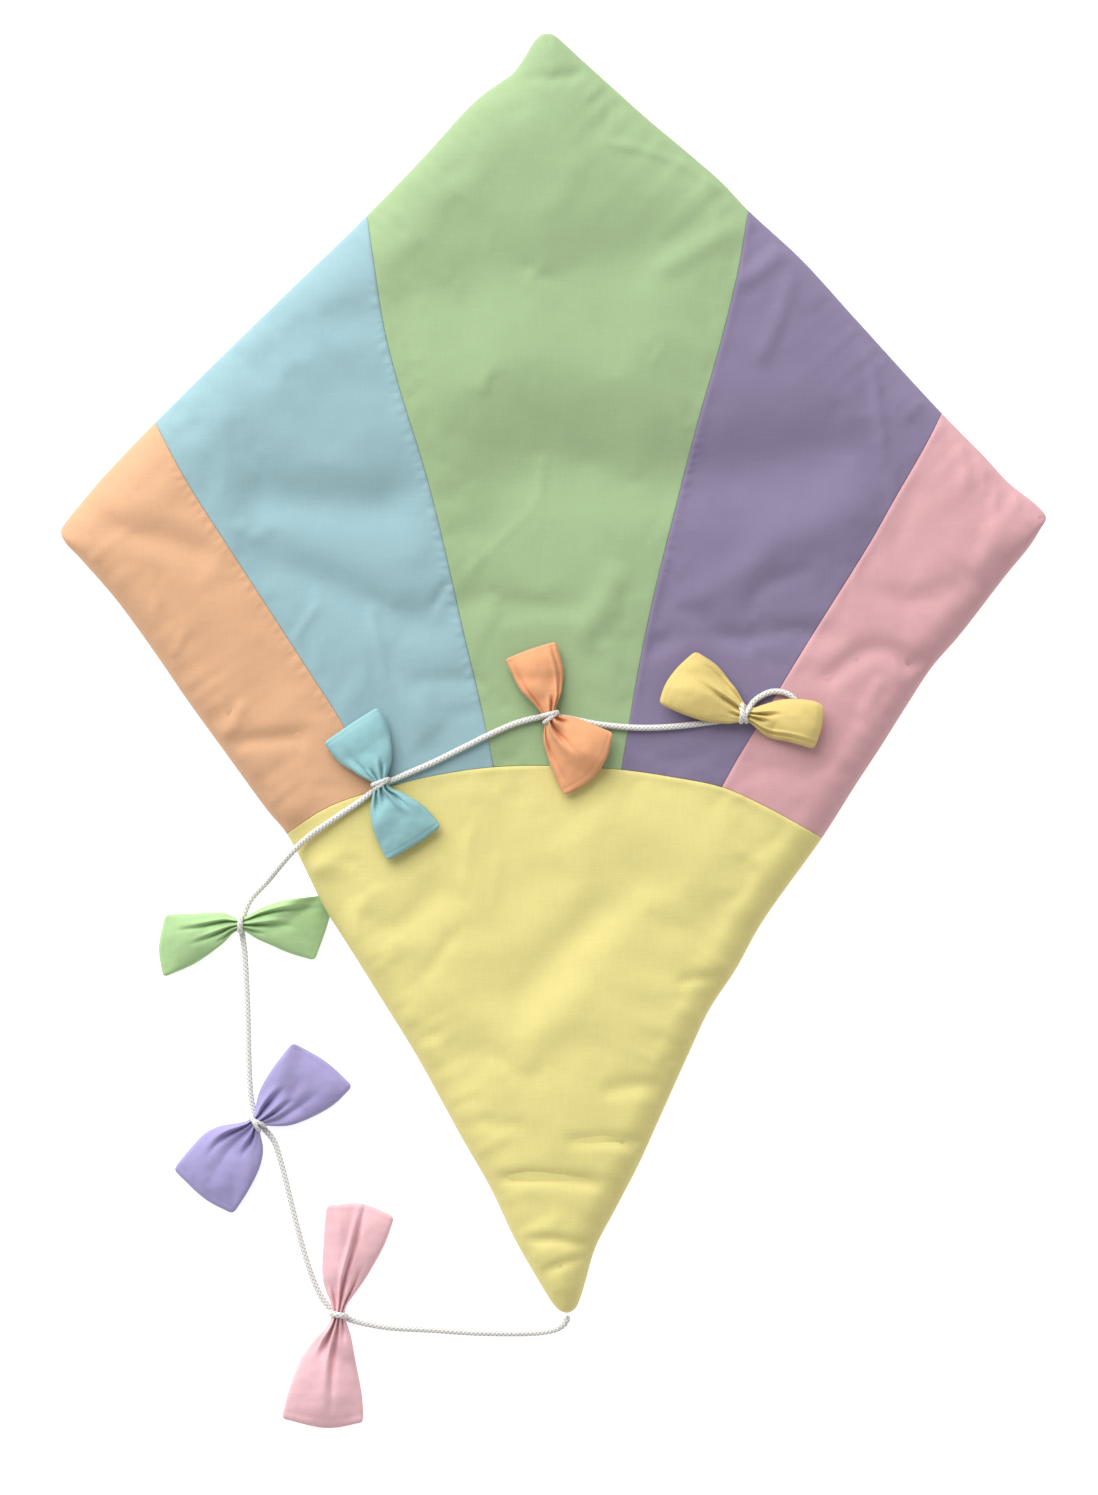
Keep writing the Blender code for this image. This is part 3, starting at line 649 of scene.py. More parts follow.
def pillow(points):
    """Share of the loft, from 0 at the sewn edge to 1: each side has its own rounding."""
    widths, powers = np.array(SIDE_SHAPES).T
    reach = [nearest_on(points, side)[0] / (w * MM) for side, w in zip(SIDES, widths)]
    pull = np.maximum(reach, TINY) ** -BLEND
    t = pull.sum(0) ** (-1 / BLEND)
    power = (pull * powers[:, None]).sum(0) / pull.sum(0)
    return (1 - CROWN) * bulge(t) ** power + CROWN * smooth_step(t / CROWN_REACH)


def noise_over(points, *layers):
    """Sum of smooth noises over flat points: height in millimetres, waves a metre, seed."""
    total = np.zeros(len(points))
    for height, waves, seed in layers:
        spots = (Vector((x * waves, y * waves, seed)) for x, y in points)
        total += height * MM * np.array([noise.noise(spot) for spot in spots])
    return total


def noise_along(run, pitch, seed):
    """Smooth noise along a line, about -1 to 1, with a wave in every pitch."""
    return np.array([noise.noise(Vector((r / pitch, seed, 0.5))) for r in run])


def rim_height(points, calm):
    """Height of the sewn edge, which rises and falls a little away from cord and bows."""
    return RIM_HEIGHT + calm * noise_over(points, RIM_WAVES)


def fold_heights(points):
    """Sum of the listed folds and swells."""
    total = np.zeros(len(points))
    for line, width, height in FOLDS:
        curve = open_curve(line, step=6 * MM) if len(line) > 2 else np.array(line) * MM
        run = run_along(curve)[-1]
        low = curve.min(0) - 3 * width * MM
        high = curve.max(0) + 3 * width * MM
        near = np.flatnonzero(((points > low) & (points < high)).all(1))
        distance, along = nearest_on(points[near], curve)
        t = along / run
        ends = smooth_step(t / 0.25 + 0.15) * smooth_step((1 - t) / 0.25 + 0.15)
        total[near] += height * MM * ends * np.exp(-((distance / (width * MM)) ** 2))
    return total


def quiet(points):
    """0 beside the cord and the bows on the front, 1 away from them."""
    distance = nearest_on(points, CORD[:, :2])[0]
    for bow in BOWS.values():
        loop = (np.array(bow["knot"]) + np.array(bow["loop"])) * MM
        away = edge_distance(points, loop)
        distance = np.minimum(distance, np.where(is_inside(points, loop), 0, away))
    return smooth_step((distance - QUIET) / QUIET_FADE)


def seam_relief(points, panel):
    """Groove, welt and puckers along a panel's seams."""
    relief = np.zeros(len(points))
    names = [name for name, _ in PANELS[panel] if not name.startswith("edge")]
    seams = {name: LINES[name] for name in names if not name.startswith("arc")}
    arcs = sorted(name for name in names if name.startswith("arc"))
    seams["arc"] = np.vstack([LINES[name] for name in arcs])
    for seed, (name, line) in enumerate(sorted(seams.items())):
        steps = np.linalg.norm(np.diff(line, axis=0), axis=1)
        distance, along = nearest_on(points, line[np.concatenate([[True], steps > TINY])])
        relief -= SEAM_SAG * np.exp(-((distance / SEAM_SAG_WIDTH) ** 2))
        upper, puckered = RAISED[name]
        if upper != panel:
            relief -= GROOVE * np.exp(-distance / GROOVE_WIDTH)
            continue
        rolled = np.exp(-((distance / WELT_WIDTH) ** 2)) - np.exp(-((distance / ROLL) ** 2))
        relief += WELT * rolled
        near = distance < 20 * MM
        fullness = 0.6 + 0.4 * noise_along(along[near], 45 * MM, seed + 7)
        shift = noise_along(along[near], 11 * MM, seed)
        slant = 0.12 * distance[near] / MM
        wave = np.cos(2 * math.pi * (along[near] / PUCKER_PITCH + 0.6 * shift) + slant)
        rise = np.exp(-((distance[near] - PUCKER_PLACE) / PUCKER_LENGTH) ** 2)
        ends = smooth_step((along[near] / MM - puckered[0]) / PUCKER_ENDS)
        ends *= smooth_step((puckered[1] - along[near] / MM) / PUCKER_ENDS)
        relief[near] += PUCKER * fullness * wave * rise * ends
    return relief


def edge_relief(points):
    """Wrinkles that run in from the sewn edge."""
    distance = edge_distance(points, OUTLINE)
    near = np.flatnonzero(distance < 4 * EDGE_WRINKLE_REACH)
    along = nearest_on(points[near], closed(OUTLINE))[1]
    wide, narrow = (noise_along(along, pitch, i + 1) for i, pitch in enumerate(WRINKLE_PITCHES))
    fade = np.exp(-distance[near] / EDGE_WRINKLE_REACH) * smooth_step(distance[near] / (5 * MM))
    relief = np.zeros(len(points))
    relief[near] = EDGE_WRINKLE * (wide + 0.6 * narrow) * fade
    return relief


def cover_height(points):
    """Height of the padded cover before its wrinkles, with the listed folds."""
    calm = quiet(points)
    inner = smooth_step(edge_distance(points, OUTLINE) / CALM_EDGE[0])
    free = rim_height(points, calm) + CLOTH + LOFT * pillow(points) + inner * fold_heights(points)
    return calm * free + (1 - calm) * (cad_front(points) - CONTACT)


SIM_STEP = 6 * MM  # spacing of the simulated cover's points
SIM_FRAMES = 20
SIM_FULLNESS = (0.002, 0.014)  # how much too large the cover is, in the middle and at the edge
SIM_FULL_REACH = 45 * MM  # how far in from the edge the cover is fuller
SIM_HOLD = 0.06  # how firmly the padding holds the cover
SIM_CAP = 2.5 * MM  # how far a point may move
SIM_CLOTH = {
    "vertex_group_mass": "held",
    "vertex_group_shrink": "full",
    "shrink_min": -SIM_FULLNESS[0],
    "shrink_max": -SIM_FULLNESS[1],
    "quality": 6,
    "mass": 0.2,
    "tension_stiffness": 20,
    "compression_stiffness": 20,
    "shear_stiffness": 8,
    "bending_stiffness": 1,
}


def simulated_wrinkles():
    """Wrinkles of an oversize cover, sewn down along outline and seams, on a square grid."""
    low = OUTLINE.min(0) - 3 * SIM_STEP
    counts = np.ceil((OUTLINE.max(0) - low) / SIM_STEP).astype(int) + 4
    x, y = np.meshgrid(*(low[i] + SIM_STEP * np.arange(counts[i]) for i in (0, 1)))
    points = np.column_stack([x.ravel(), y.ravel()])
    inside = is_inside(points, OUTLINE)
    used = np.flatnonzero(inside)
    rank = np.full(len(points), -1)
    rank[used] = np.arange(len(used))
    faces = rank[used[:, None] + [0, 1, counts[0] + 1, counts[0]]]
    faces = faces[(faces >= 0).all(1)].tolist()
    flat = points[used]
    start = cover_height(flat) + noise_over(flat, SLACK_WAVES)
    verts = np.column_stack([flat, start])
    item = mesh_piece("cover_in_simulation", verts, faces, bpy.data.materials.new("spare"))
    edge = edge_distance(flat, OUTLINE)
    seams = [line for name, line in LINES.items() if "edge" not in name]
    seam = np.min([nearest_on(flat, line)[0] for line in seams], 0)
    sewn = np.maximum(edge < 1.5 * SIM_STEP, seam < 0.6 * SIM_STEP)
    held = SIM_HOLD + (1 - SIM_HOLD) * np.maximum(sewn, 1 - quiet(flat))
    full = np.exp(-edge / SIM_FULL_REACH)
    for name, shares in (("held", held), ("full", full)):
        group = item.vertex_groups.new(name=name)
        for i, share in enumerate(shares):
            group.add([i], float(share), "REPLACE")
    cloth = item.modifiers.new("cover", "CLOTH")
    for name, value in SIM_CLOTH.items():
        setattr(cloth.settings, name, value)
    cloth.settings.effector_weights.gravity = 0
    cloth.collision_settings.use_collision = False
    cloth.point_cache.frame_start = 1
    cloth.point_cache.frame_end = SIM_FRAMES
    for number in range(1, SIM_FRAMES + 1):
        bpy.context.scene.frame_set(number)
    evaluated = item.evaluated_get(bpy.context.evaluated_depsgraph_get())
    moved = np.array([tuple(v.co) for v in evaluated.data.vertices])[:, 2] - start
    bpy.data.objects.remove(item)
    bpy.context.scene.frame_set(1)
    field = np.zeros(len(points))
    field[used] = np.clip(moved, -SIM_CAP, SIM_CAP)
    return low, field.reshape(counts[::-1])


def cubic_weights(t):
    """Weights of the four values round a spot in a smooth curve through them."""
    return np.array([
        (-t**3 + 2 * t**2 - t) / 2,
        (3 * t**3 - 5 * t**2 + 2) / 2,
        (-3 * t**3 + 4 * t**2 + t) / 2,
        (t**3 - t**2) / 2,
    ])


def wrinkle_heights(points):
    """The simulated wrinkles at any point, smoothly in between the grid's points."""
    low, field = WRINKLES
    place = (points - low) / SIM_STEP
    cell = np.floor(place).astype(int)
    across, up = (cubic_weights(t) for t in (place - cell).T)
    column, row = cell.T
    total = np.zeros(len(points))
    for i in range(4):
        for j in range(4):
            total += up[i] * across[j] * field[row + i - 1, column + j - 1]
    return total


def front_height(points, panel):
    """Height of the padded front's outer surface."""
    calm = quiet(points)
    inner = smooth_step(edge_distance(points, OUTLINE) / CALM_EDGE[1])
    loose = edge_relief(points) + wrinkle_heights(points) + noise_over(points, *COVER_WAVES)
    seams = (0.3 + 0.7 * calm) * seam_relief(points, panel)
    return cover_height(points) + inner * (calm * loose + seams)


def back_height(points):
    """Height of the back's lower surface, flat on the floor but for a band along the edge."""
    distance = edge_distance(points, OUTLINE)
    rise = (1 - np.clip(distance / UNDERCUT, 0, 1)) ** UNDERCUT_POWER
    return (rim_height(points, quiet(points)) - CLOTH - GAP / 2) * rise


# ---- mesh building


def mesh_piece(name, verts, faces, mat):
    """A new smooth object from points and faces."""
    mesh = bpy.data.meshes.new(name)
    mesh.from_pydata([tuple(v) for v in verts], [], faces)
    mesh.validate()
    mesh.update()
    mesh.shade_smooth()
    mesh.materials.append(mat)
    item = bpy.data.objects.new(name, mesh)
    bpy.context.collection.objects.link(item)
    return item


def stand_in(item, body, node):
    """Say which body a piece rides on and which node it replaces."""
    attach(item, body)
    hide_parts(node)


def triangulated(loop, inner):
    """Triangles over a flat loop and the points inside it, loop points first."""
    points = np.vstack([loop, inner])
    ring = list(range(len(loop)))
    found = delaunay_2d_cdt([Vector(p) for p in points], [], [ring], 1, 1e-7)
    spots = [tuple(point) for point in points]
    rank = []
    for spot, sources in zip(found[0], found[3]):
        if not sources:
            spots.append(tuple(spot))
        rank.append(sources[-1] if sources else len(spots) - 1)
    return np.array(spots), [[rank[i] for i in face] for face in found[2]]


def shell(name, loop, top_points, bottom_points, top, bottom, mat):
    """Closed shell over a flat loop, fine above and coarse below."""
    upper, upper_faces = triangulated(loop, top_points)
    lower, lower_faces = triangulated(loop, bottom_points)
    shift = len(upper)
    verts = np.vstack([
        np.column_stack([upper, top(upper)]),
        np.column_stack([lower, bottom(lower)]),
    ])
    faces = upper_faces + [[i + shift for i in reversed(face)] for face in lower_faces]
    count = len(loop)
    for i in range(count):
        j = (i + 1) % count
        faces.append([i + shift, j + shift, j, i])
    return mesh_piece(name, verts, faces, mat)


def grid_faces(rows, columns, start=0, flip=False):
    """Quads of a grid of points that is stored row by row."""
    faces = []
    for i in range(rows - 1):
        for j in range(columns - 1):
            a = start + i * columns + j
            face = [a, a + 1, a + columns + 1, a + columns]
            faces.append(face[::-1] if flip else face)
    return faces


# ---- materials


def linear(srgb, gain=1.0):
    """Linear base colour that comes out as an sRGB colour, 0 to 255, in the studio light."""
    return (*(min(1.0, gain / LIT * ((c / 255 + 0.055) / 1.055) ** 2.4) for c in srgb), 1)


def set_inputs(node, values):
    """Set a node's unlinked inputs by name."""
    for name, value in values.items():
        node.inputs[name].default_value = value


def two_tones(mat, factor, low, high):
    """Colour a material between two stops, each a place along the factor and a colour."""
    nodes = mat.node_tree.nodes
    ramp = nodes.new("ShaderNodeValToRGB")
    for stop, (place, colour) in zip(ramp.color_ramp.elements, (low, high)):
        stop.position = place
        stop.color = colour
    links = mat.node_tree.links
    links.new(factor, ramp.inputs["Fac"])
    links.new(ramp.outputs["Color"], nodes["Principled BSDF"].inputs["Base Color"])


def cotton(name, srgb, turn=0, slub=0.075):
    """Plain woven cotton: slubby threads both ways, faint clouding, soft sheen."""
    mat = bpy.data.materials.new(name)
    mat.use_nodes = True
    nodes = mat.node_tree.nodes
    links = mat.node_tree.links
    shader = nodes["Principled BSDF"]
    coords = nodes.new("ShaderNodeTexCoord")

    def streaks(scale, detail=2):
        mapping = nodes.new("ShaderNodeMapping")
        set_inputs(mapping, {"Rotation": (0, 0, turn), "Scale": scale})
        pattern = nodes.new("ShaderNodeTexNoise")
        set_inputs(pattern, {"Scale": 1, "Detail": detail})
        links.new(coords.outputs["Object"], mapping.inputs["Vector"])
        links.new(mapping.outputs["Vector"], pattern.inputs["Vector"])
        return pattern.outputs["Fac"]

    def mixed(kind, a, b, extra=None):
        node = nodes.new("ShaderNodeMath")
        node.operation = kind
        for socket, value in zip(node.inputs, (a, b, extra)):
            if value is None:
                continue
            if isinstance(value, (int, float)):
                socket.default_value = value
            else:
                links.new(value, socket)
        return node.outputs["Value"]

    warp = streaks((900, 70, 70))
    weft = streaks((60, 1000, 60))
    cloud = streaks((14, 14, 14), 3)
    fuzz = streaks((700, 700, 700))
    threads = mixed("MULTIPLY_ADD", mixed("ADD", warp, weft), 0.35, mixed("MULTIPLY", fuzz, 0.3))
    tone = mixed("ADD", mixed("MULTIPLY", threads, 0.65), mixed("MULTIPLY", cloud, 0.35))
    two_tones(mat, tone, (0.3, linear(srgb, 1 - slub)), (0.7, linear(srgb, 1 + slub)))
    rough = nodes.new("ShaderNodeMapRange")
    set_inputs(rough, {"To Min": 0.78, "To Max": 0.96})
    links.new(threads, rough.inputs["Value"])
    links.new(rough.outputs["Result"], shader.inputs["Roughness"])
    set_inputs(shader, {"Sheen Weight": 0.12, "Sheen Roughness": 0.5, "Specular IOR Level": 0.25})
    relief = nodes.new("ShaderNodeBump")
    set_inputs(relief, {"Strength": 0.5, "Distance": 0.3 * MM})
    links.new(threads, relief.inputs["Height"])
    links.new(relief.outputs["Normal"], shader.inputs["Normal"])
    return mat


def pale_table():
    """A white table that is lit a little from below."""
    mat = bpy.data.materials.new("pale_table")
    mat.use_nodes = True
    set_inputs(mat.node_tree.nodes["Principled BSDF"], {
        "Base Color": (0.8, 0.8, 0.8, 1),
        "Roughness": 0.9,
        "Emission Color": (1, 1, 1, 1),
        "Emission Strength": 0.6,
    })
    return mat


# ---- pieces of the body


def front_panel(name, ring):
    """One cloth panel of the pieced front."""
    loop = inset(joined(LINES, ring), SEAM_GAP)
    rows = [inset(loop, row * MM) for row in SEAM_ROWS]
    fine = np.vstack([*rows, grid_inside(loop, FINE_STEP, SEAM_ROWS[-1] * MM + FINE_STEP * 0.6)])
    coarse = grid_inside(loop, COARSE_STEP, COARSE_STEP * 0.4)
    item = shell(
        f"quilted_front_{name}",
        loop,
        fine,
        coarse,
        lambda points: front_height(points, name),
        lambda points: front_height(points, name) - CLOTH,
        cotton(f"cotton_{name}", PANEL_COLOURS[name]),
    )
    stand_in(item, "kite", f"front_panel_{name}")


def back_panel():
    """The plain back, flat where it rests."""
    loop = inset(OUTLINE, BACK_INSET)
    rows = [inset(loop, row * MM) for row in BACK_ROWS]
    fine = np.vstack([*rows, grid_inside(loop, COARSE_STEP, UNDERCUT + COARSE_STEP / 2)])
    item = shell(
        "cloth_back_panel",
        loop,
        fine,
        fine,
        lambda points: back_height(points) + CLOTH,
        back_height,
        cotton("cotton_back", BACK_COLOUR),
    )
    stand_in(item, "kite", "back_panel")


def filling():
    """The loose filling between front and back."""
    loop = inset(OUTLINE, FILLING_INSET)
    inner = grid_inside(loop, FILLING_STEP, 5 * MM)

    def top(points):
        fluff = noise_over(points, FLUFF)
        return RIM_HEIGHT + LOFT * pillow(points) - FILLING_DEPTH + fluff

    def bottom(points):
        return np.minimum(back_height(points) + CLOTH + GAP, top(points) - 1 * MM)

    mat = cotton("polyester_wadding", FILLING_COLOUR, slub=0.02)
    item = shell("filling_pad", loop, inner, inner, top, bottom, mat)
    stand_in(item, "kite", "padding")


# ---- cord

BRAID_STRANDS = 4  # strands each way round the cord
BRAID_PITCH = 5.5 * MM
CORD_SIDES = 20
CORD_STEP = 0.6 * MM


def braided(points, side=None, radius=CORD_RADIUS):
    """Points and faces of a braided cord along a path, with rounded ends."""
    run = run_along(points)
    count = max(12, round(run[-1] / CORD_STEP))
    path = resample(points, count)
    run = run_along(path)
    ahead = np.gradient(path, axis=0)
    ahead /= np.linalg.norm(ahead, axis=1)[:, None]
    side = np.cross(ahead, (0, 0, 1)) if side is None else np.tile(side, (count, 1))
    side = side / np.linalg.norm(side, axis=1)[:, None]
    up = np.cross(side, ahead)
    angle = np.arange(CORD_SIDES) * 2 * math.pi / CORD_SIDES
    ring = side[:, None] * np.cos(angle)[:, None] + up[:, None] * np.sin(angle)[:, None]
    turn = BRAID_STRANDS * angle / (2 * math.pi)
    wind = run[:, None] / BRAID_PITCH * 2
    left = abs(np.cos(math.pi * (turn + wind)))
    right = abs(np.cos(math.pi * (turn - wind)))
    crest = np.maximum(left, right)
    swell = 0.84 + 0.17 * crest
    end = np.minimum(run, run[-1] - run) / radius
    taper = bulge(np.clip(end + 0.12, 0, 1))
    skin = path[:, None] + ring * (radius * swell * taper[:, None])[..., None]
    tips = path[[0, -1]] + ahead[[0, -1]] * [[-TINY], [TINY]]
    verts = np.vstack([skin.reshape(-1, 3), tips])
    faces = []
    for i in range(count - 1):
        for j in range(CORD_SIDES):
            k = (j + 1) % CORD_SIDES
            a = i * CORD_SIDES
            b = a + CORD_SIDES
            faces.append([a + j, b + j, b + k, a + k])
    first = count * CORD_SIDES
    for j in range(CORD_SIDES):
        k = (j + 1) % CORD_SIDES
        faces.append([first, j, k])
        faces.append([first + 1, first - CORD_SIDES + k, first - CORD_SIDES + j])
    # the braid's crests, also the mask for the shade painted between the strands
    strand = np.concatenate([crest.ravel(), [1, 1]])
    return verts, faces, strand


def braid_piece(name, verts, faces, strand, mat):
    """A piece of cord, with the crests of its braid marked, so that shade can be painted between
    them.
    """
    item = mesh_piece(name, verts, faces, mat)
    crests = item.data.attributes.new("strand", "FLOAT", "POINT")
    crests.data.foreach_set("value", strand.astype(np.float32))
    return item


def braid_cotton():
    """White braided cotton, with shade painted greyer between its strands."""
    mat = cotton("cord_cotton", CORD_COLOUR, slub=0.03)
    crest = mat.node_tree.nodes.new("ShaderNodeAttribute")
    crest.attribute_name = "strand"
    gap, top = linear(CORD_GAP_SHADE), linear(CORD_COLOUR)
    # painted shade: grey between the strands, the cord's own white on their crests
    two_tones(mat, crest.outputs["Fac"], (0.72, gap), (0.9, top))
    return mat


def tail_cord(mat):
    """The white braided cord from the lower tip to the yellow bow."""
    item = braid_piece("braided_tail_cord", *braided(cord_path(1400)), mat)
    stand_in(item, "kite", "tail_cord")
    float(run_along(CORD)[-1])


# ---- bows

ACROSS = 60  # points across a bow
ALONG = 56  # points from the waist to a hem
BODY = 1.9 * MM  # thickness of a wing's folded cloth
PUFF = 6 * MM  # how far the middle of a wing stands up
PUFF_PLACE = 1.5  # more than 1 puts the highest place of a wing nearer its hem
WING_LENGTH = (55 * MM, 50 * MM)  # from the waist to the hem, as the two wings' folds are laid out
CORNER = 3 * MM  # radius of a bow's corners
WING_LIFT = 5 * MM  # how far a hem stands off the padded front that the bow lies on
PLEAT_DEPTH = 1.5  # share of the depth that BOWS gives the pleats
WAIST_RISE = 3 * MM
WAIST_LENGTH = 0.14  # share of a wing over which it narrows to the waist
HEM_IN = 3.2 * MM  # distance of the hem's stitching from the edge


def bow_grid(bow):
    """Flat points of a bow from hem to hem, with place across (0 to 1) and along (-1 to 1)."""
    knot = np.array(bow["knot"]) * MM
    loop = bow["loop"]
    waist_a, corner_a, corner_b, waist_b, corner_c, corner_d = bow["corners"]
    ring = loop[waist_a:] + loop[:waist_a]
    side_a = ring[corner_d:] + ring[:corner_a + 1]
    side_b = ring[corner_b:corner_c + 1][::-1]
    cut_a = len(ring) - corner_d
    cut_b = corner_c - waist_b
    hems = [ring[corner_c:corner_d + 1][::-1], ring[corner_a:corner_b + 1]]

    def halves(side, cut):
        runs = curve_segments(side, step=0.5 * MM)
        line = open_curve(side, step=0.5 * MM)
        at = sum(len(run) for run in runs[:cut])
        lower = resample(line[:at + 1], ALONG + 1)
        upper = resample(line[at:], ALONG + 1)
        return lower[::-1], upper

    across = np.linspace(0, 1, ACROSS)
    rows = {}
    for half, (a, b, hem) in enumerate(zip(halves(side_a, cut_a), halves(side_b, cut_b), hems)):
        hem_line = resample(open_curve(hem, step=0.5 * MM), ACROSS)
        out = np.linspace(0, 1, ALONG + 1)[:, None, None]
        flat = a[:, None] * (1 - across[:, None]) + b[:, None] * across[:, None]
        rows[half] = flat + out**3 * (hem_line - flat[-1])
    grid = np.vstack([rows[0][:0:-1], rows[1]]) + knot
    along = np.concatenate([-np.linspace(1, 0, ALONG + 1)[:-1], np.linspace(0, 1, ALONG + 1)])
    u, v = np.meshgrid(across, along)
    middle = (grid[:, :1] + grid[:, -1:]) / 2
    pinch = 1 - bow["waist"] * MM / np.linalg.norm(grid[ALONG, 0] - grid[ALONG, -1])
    grid = middle + (grid - middle) * (1 - pinch * np.exp(-((v / WAIST_LENGTH) ** 2)))[..., None]
    return with_round_corners(grid, u, v), u, v


def edge_gaps(grid, u, v):
    """Distance of each of a bow's points from its nearer long side, and from its hem."""
    width = np.linalg.norm(grid[:, 0] - grid[:, -1], axis=1)[:, None]
    return np.minimum(u, 1 - u) * width, (1 - abs(v)) * np.where(v >= 0, *WING_LENGTH)


def with_round_corners(grid, u, v):
    """The grid with the square at each corner drawn in to a quarter of a disc."""
    side, hem = edge_gaps(grid, u, v)
    a = np.clip(1 - hem / CORNER, 0, 1)
    b = np.clip(1 - side / CORNER, 0, 1)
    inward = -np.gradient(grid, axis=0) * np.sign(v)[..., None]
    across = np.gradient(grid, axis=1) * np.sign(0.5 - u)[..., None]
    moved = grid.copy()
    for way, first, second in ((inward, a, b), (across, b, a)):
        shift = CORNER * first * (1 - np.sqrt(1 - second**2 / 2))
        length = np.maximum(np.linalg.norm(way, axis=2), TINY)
        moved += way * (shift / length)[..., None]
    return moved


def pleat_relief(u, out, pleats):
    """Valleys that fan out from the waist, with the ridge that each throws up beside it."""
    relief = np.zeros_like(u)
    for near, far, reach, depth, width in pleats:
        centre = near + (far - near) * out
        fade = 1 - smooth_step((out - 0.25 * reach) / (0.75 * reach))
        valley = np.exp(-abs((u - centre) / width) ** 1.5)
        ridge = np.exp(-(((u - centre - 2 * width) / (1.3 * width)) ** 2))
        relief += PLEAT_DEPTH * depth * MM * fade * (0.6 * ridge - valley)
    return relief


def bow_heights(grid, u, v, bow, seed):
    """How far a bow's upper surface stands over its lower one."""
    out = abs(v)
    first = np.where(v >= 0, 1.0, 0.0)
    pleats = first * pleat_relief(u, out, bow["pleats"][0])
    pleats += (1 - first) * pleat_relief(u, out, bow["pleats"][1])
    side, hem = edge_gaps(grid, u, v)
    edge = bulge((np.minimum(side, hem) + 0.25 * MM) / (2.6 * MM))
    dome = np.clip(4 * u * (1 - u), 0, 1)
    puff = PUFF * dome**0.6 * np.sin(math.pi * out**PUFF_PLACE) ** 0.8
    waist = WAIST_RISE * dome**0.5 * np.exp(-((out / 0.2) ** 2))
    gathers = 0.35 * MM * np.cos(2 * math.pi * (5 * u + 0.3 * seed)) * np.exp(-((out / 0.22) ** 2))
    flat = grid.reshape(-1, 2)
    soft = noise_over(flat, *((*layer, seed) for layer in BOW_WAVES)).reshape(u.shape)
    stitch = 0.35 * MM * np.exp(-(((hem - HEM_IN) / (0.7 * MM)) ** 2))
    pleats *= 1 - 0.5 * np.exp(-((out / 0.12) ** 2))
    body = BODY + puff + waist + gathers + pleats + soft
    return np.maximum(0.5 * MM, body * (0.25 + 0.75 * edge) - stitch)


def bow(name, spec, seed):
    """A gathered bow of doubled cotton."""
    grid, u, v = bow_grid(spec)
    rows, columns = u.shape
    flat = grid.reshape(-1, 2)
    bottom = bow_bottom(flat, spec) + 0.1 * MM
    if spec["lies_on"]:
        bottom += WING_LIFT * abs(v.ravel()) ** 1.3
    thick = bow_heights(grid, u, v, spec, seed).ravel()
    verts = np.vstack([np.column_stack([flat, z]) for z in (bottom + thick, bottom)])
    count = rows * columns
    faces = grid_faces(rows, columns, flip=True) + grid_faces(rows, columns, start=count)
    border = list(range(columns))
    border += [i * columns + columns - 1 for i in range(1, rows)]
    border += [count - 1 - j for j in range(1, columns)]
    border += [(rows - 1 - i) * columns for i in range(1, rows - 1)]
    for a, b in zip(border, border[1:] + border[:1]):
        faces.append([a, b, b + count, a + count])
    mat = cotton(f"bow_cotton_{name}", BOW_COLOURS[name], math.radians(spec["band"]))
    item = mesh_piece(f"gathered_bow_{name}", verts, faces, mat)
    stand_in(item, f"{name}_bow", f"bow_{name}")
    length = run_along(grid[:, columns // 2])[-1]
    rests = [f"quilted_front_{panel}" for panel in spec["lies_on"]]
    return item


def hitch(name, spec, mat):
    """The turns of cord that bind a bow's waist."""
    knot = np.array([spec["knot"]]) * MM
    band = math.radians(spec["band"])
    across = np.array([math.cos(band), math.sin(band)])
    sewn = np.array([-across[1], across[0]])
    half = spec["waist"] / 2 * MM + HITCH_CLEAR
    foot = bow_bottom(knot + half * np.array([-across, across]), spec).max() + 0.6 * MM
    top = bow_bottom(knot, spec)[0] + BODY + WAIST_RISE + 0.5 * MM
    verts = np.zeros((0, 3))
    strand = np.zeros(0)
    faces = []
    for number, (offset, lean, radius) in enumerate(spec["turns"]):
        turn = band + math.radians(lean)
        way = np.array([math.cos(turn), math.sin(turn), 0])
        angle = np.linspace(0, math.pi, 40)
        centre = np.array([*(knot[0] + offset * MM * sewn), foot])
        arch = centre + half * np.cos(angle)[:, None] * way
        arch[:, 2] += (top + radius * MM + 0.5 * MM * number - foot) * np.sin(angle) ** 0.8
        lie = (-way[1], way[0], 0)
        new_verts, new_faces, new_strand = braided(arch, side=lie, radius=radius * MM)
        faces += [[i + len(verts) for i in face] for face in new_faces]
        verts = np.vstack([verts, new_verts])
        strand = np.concatenate([strand, new_strand])
    item = braid_piece(f"bound_turn_{name}", verts, faces, strand, mat)
    stand_in(item, f"{name}_bow", f"hitch_{name}")
    return item


# ---- stage

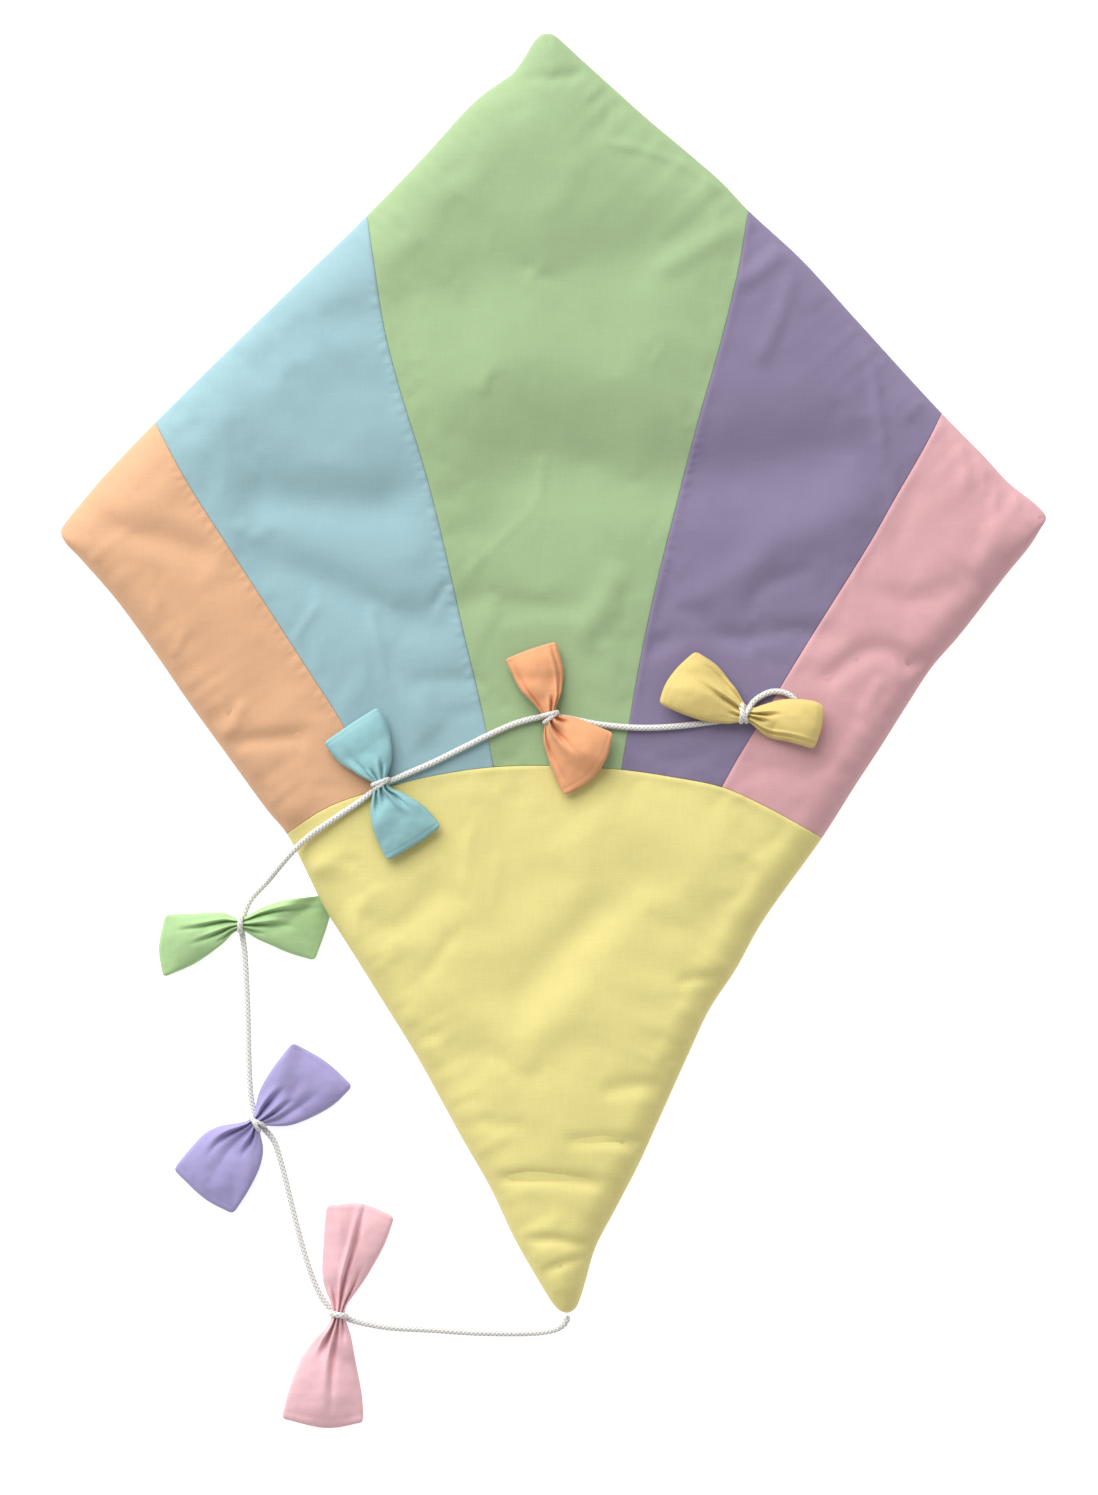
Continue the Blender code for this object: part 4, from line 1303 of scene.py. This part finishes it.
VIEW_CENTRE = (-3.1 * MM, -48.75 * MM)  # middle of the view
VIEW_LENGTH = 0.97175  # long side of the view at the object
OBJECT_HEIGHT = 12 * MM
LENS = 135
SENSOR = 36
SKY = 0.52  # strength of the light from all round
KEY_TURN = math.radians(117)  # where the key light comes from: round from +X, and up
KEY_RISE = math.radians(35)
KEY_DISTANCE = 6
KEY_SIZE = 6.5
KEY_POWER = 530


def stage():
    """Pale floor, soft light from the upper left, and the camera straight above."""
    bpy.ops.mesh.primitive_plane_add(size=12, location=(0, 0, -0.2 * MM))
    floor = bpy.context.object
    floor.name = "floor"
    floor.data.materials.append(pale_table())

    scene = bpy.context.scene
    scene.view_settings.view_transform = "Standard"
    world = bpy.data.worlds.new("studio")
    scene.world = world
    world.use_nodes = True
    set_inputs(world.node_tree.nodes["Background"], {"Color": (1, 1, 1, 1), "Strength": SKY})

    level = math.cos(KEY_RISE)
    away = Vector((level * math.cos(KEY_TURN), level * math.sin(KEY_TURN), math.sin(KEY_RISE)))
    key = bpy.data.lights.new("key", "AREA")
    key.shape = "DISK"
    key.size = KEY_SIZE
    key.energy = KEY_POWER
    lamp = bpy.data.objects.new("key", key)
    bpy.context.collection.objects.link(lamp)
    lamp.location = away * KEY_DISTANCE
    lamp.rotation_euler = away.to_track_quat("Z", "Y").to_euler()

    data = bpy.data.cameras.new("camera")
    data.lens = LENS
    data.sensor_width = SENSOR
    data.clip_end = 50
    camera = bpy.data.objects.new("camera", data)
    bpy.context.collection.objects.link(camera)
    camera.location = (*VIEW_CENTRE, OBJECT_HEIGHT + VIEW_LENGTH * LENS / SENSOR)
    scene.camera = camera


# ---- assembly

stage()
WRINKLES = simulated_wrinkles()
filling()
for panel_name, panel_ring in PANELS.items():
    front_panel(panel_name, panel_ring)
back_panel()
cord_cotton = braid_cotton()
for number, (bow_name, bow_spec) in enumerate(BOWS.items()):
    bow(bow_name, bow_spec, number + 1)
    hitch(bow_name, bow_spec, cord_cotton)
tail_cord(cord_cotton)
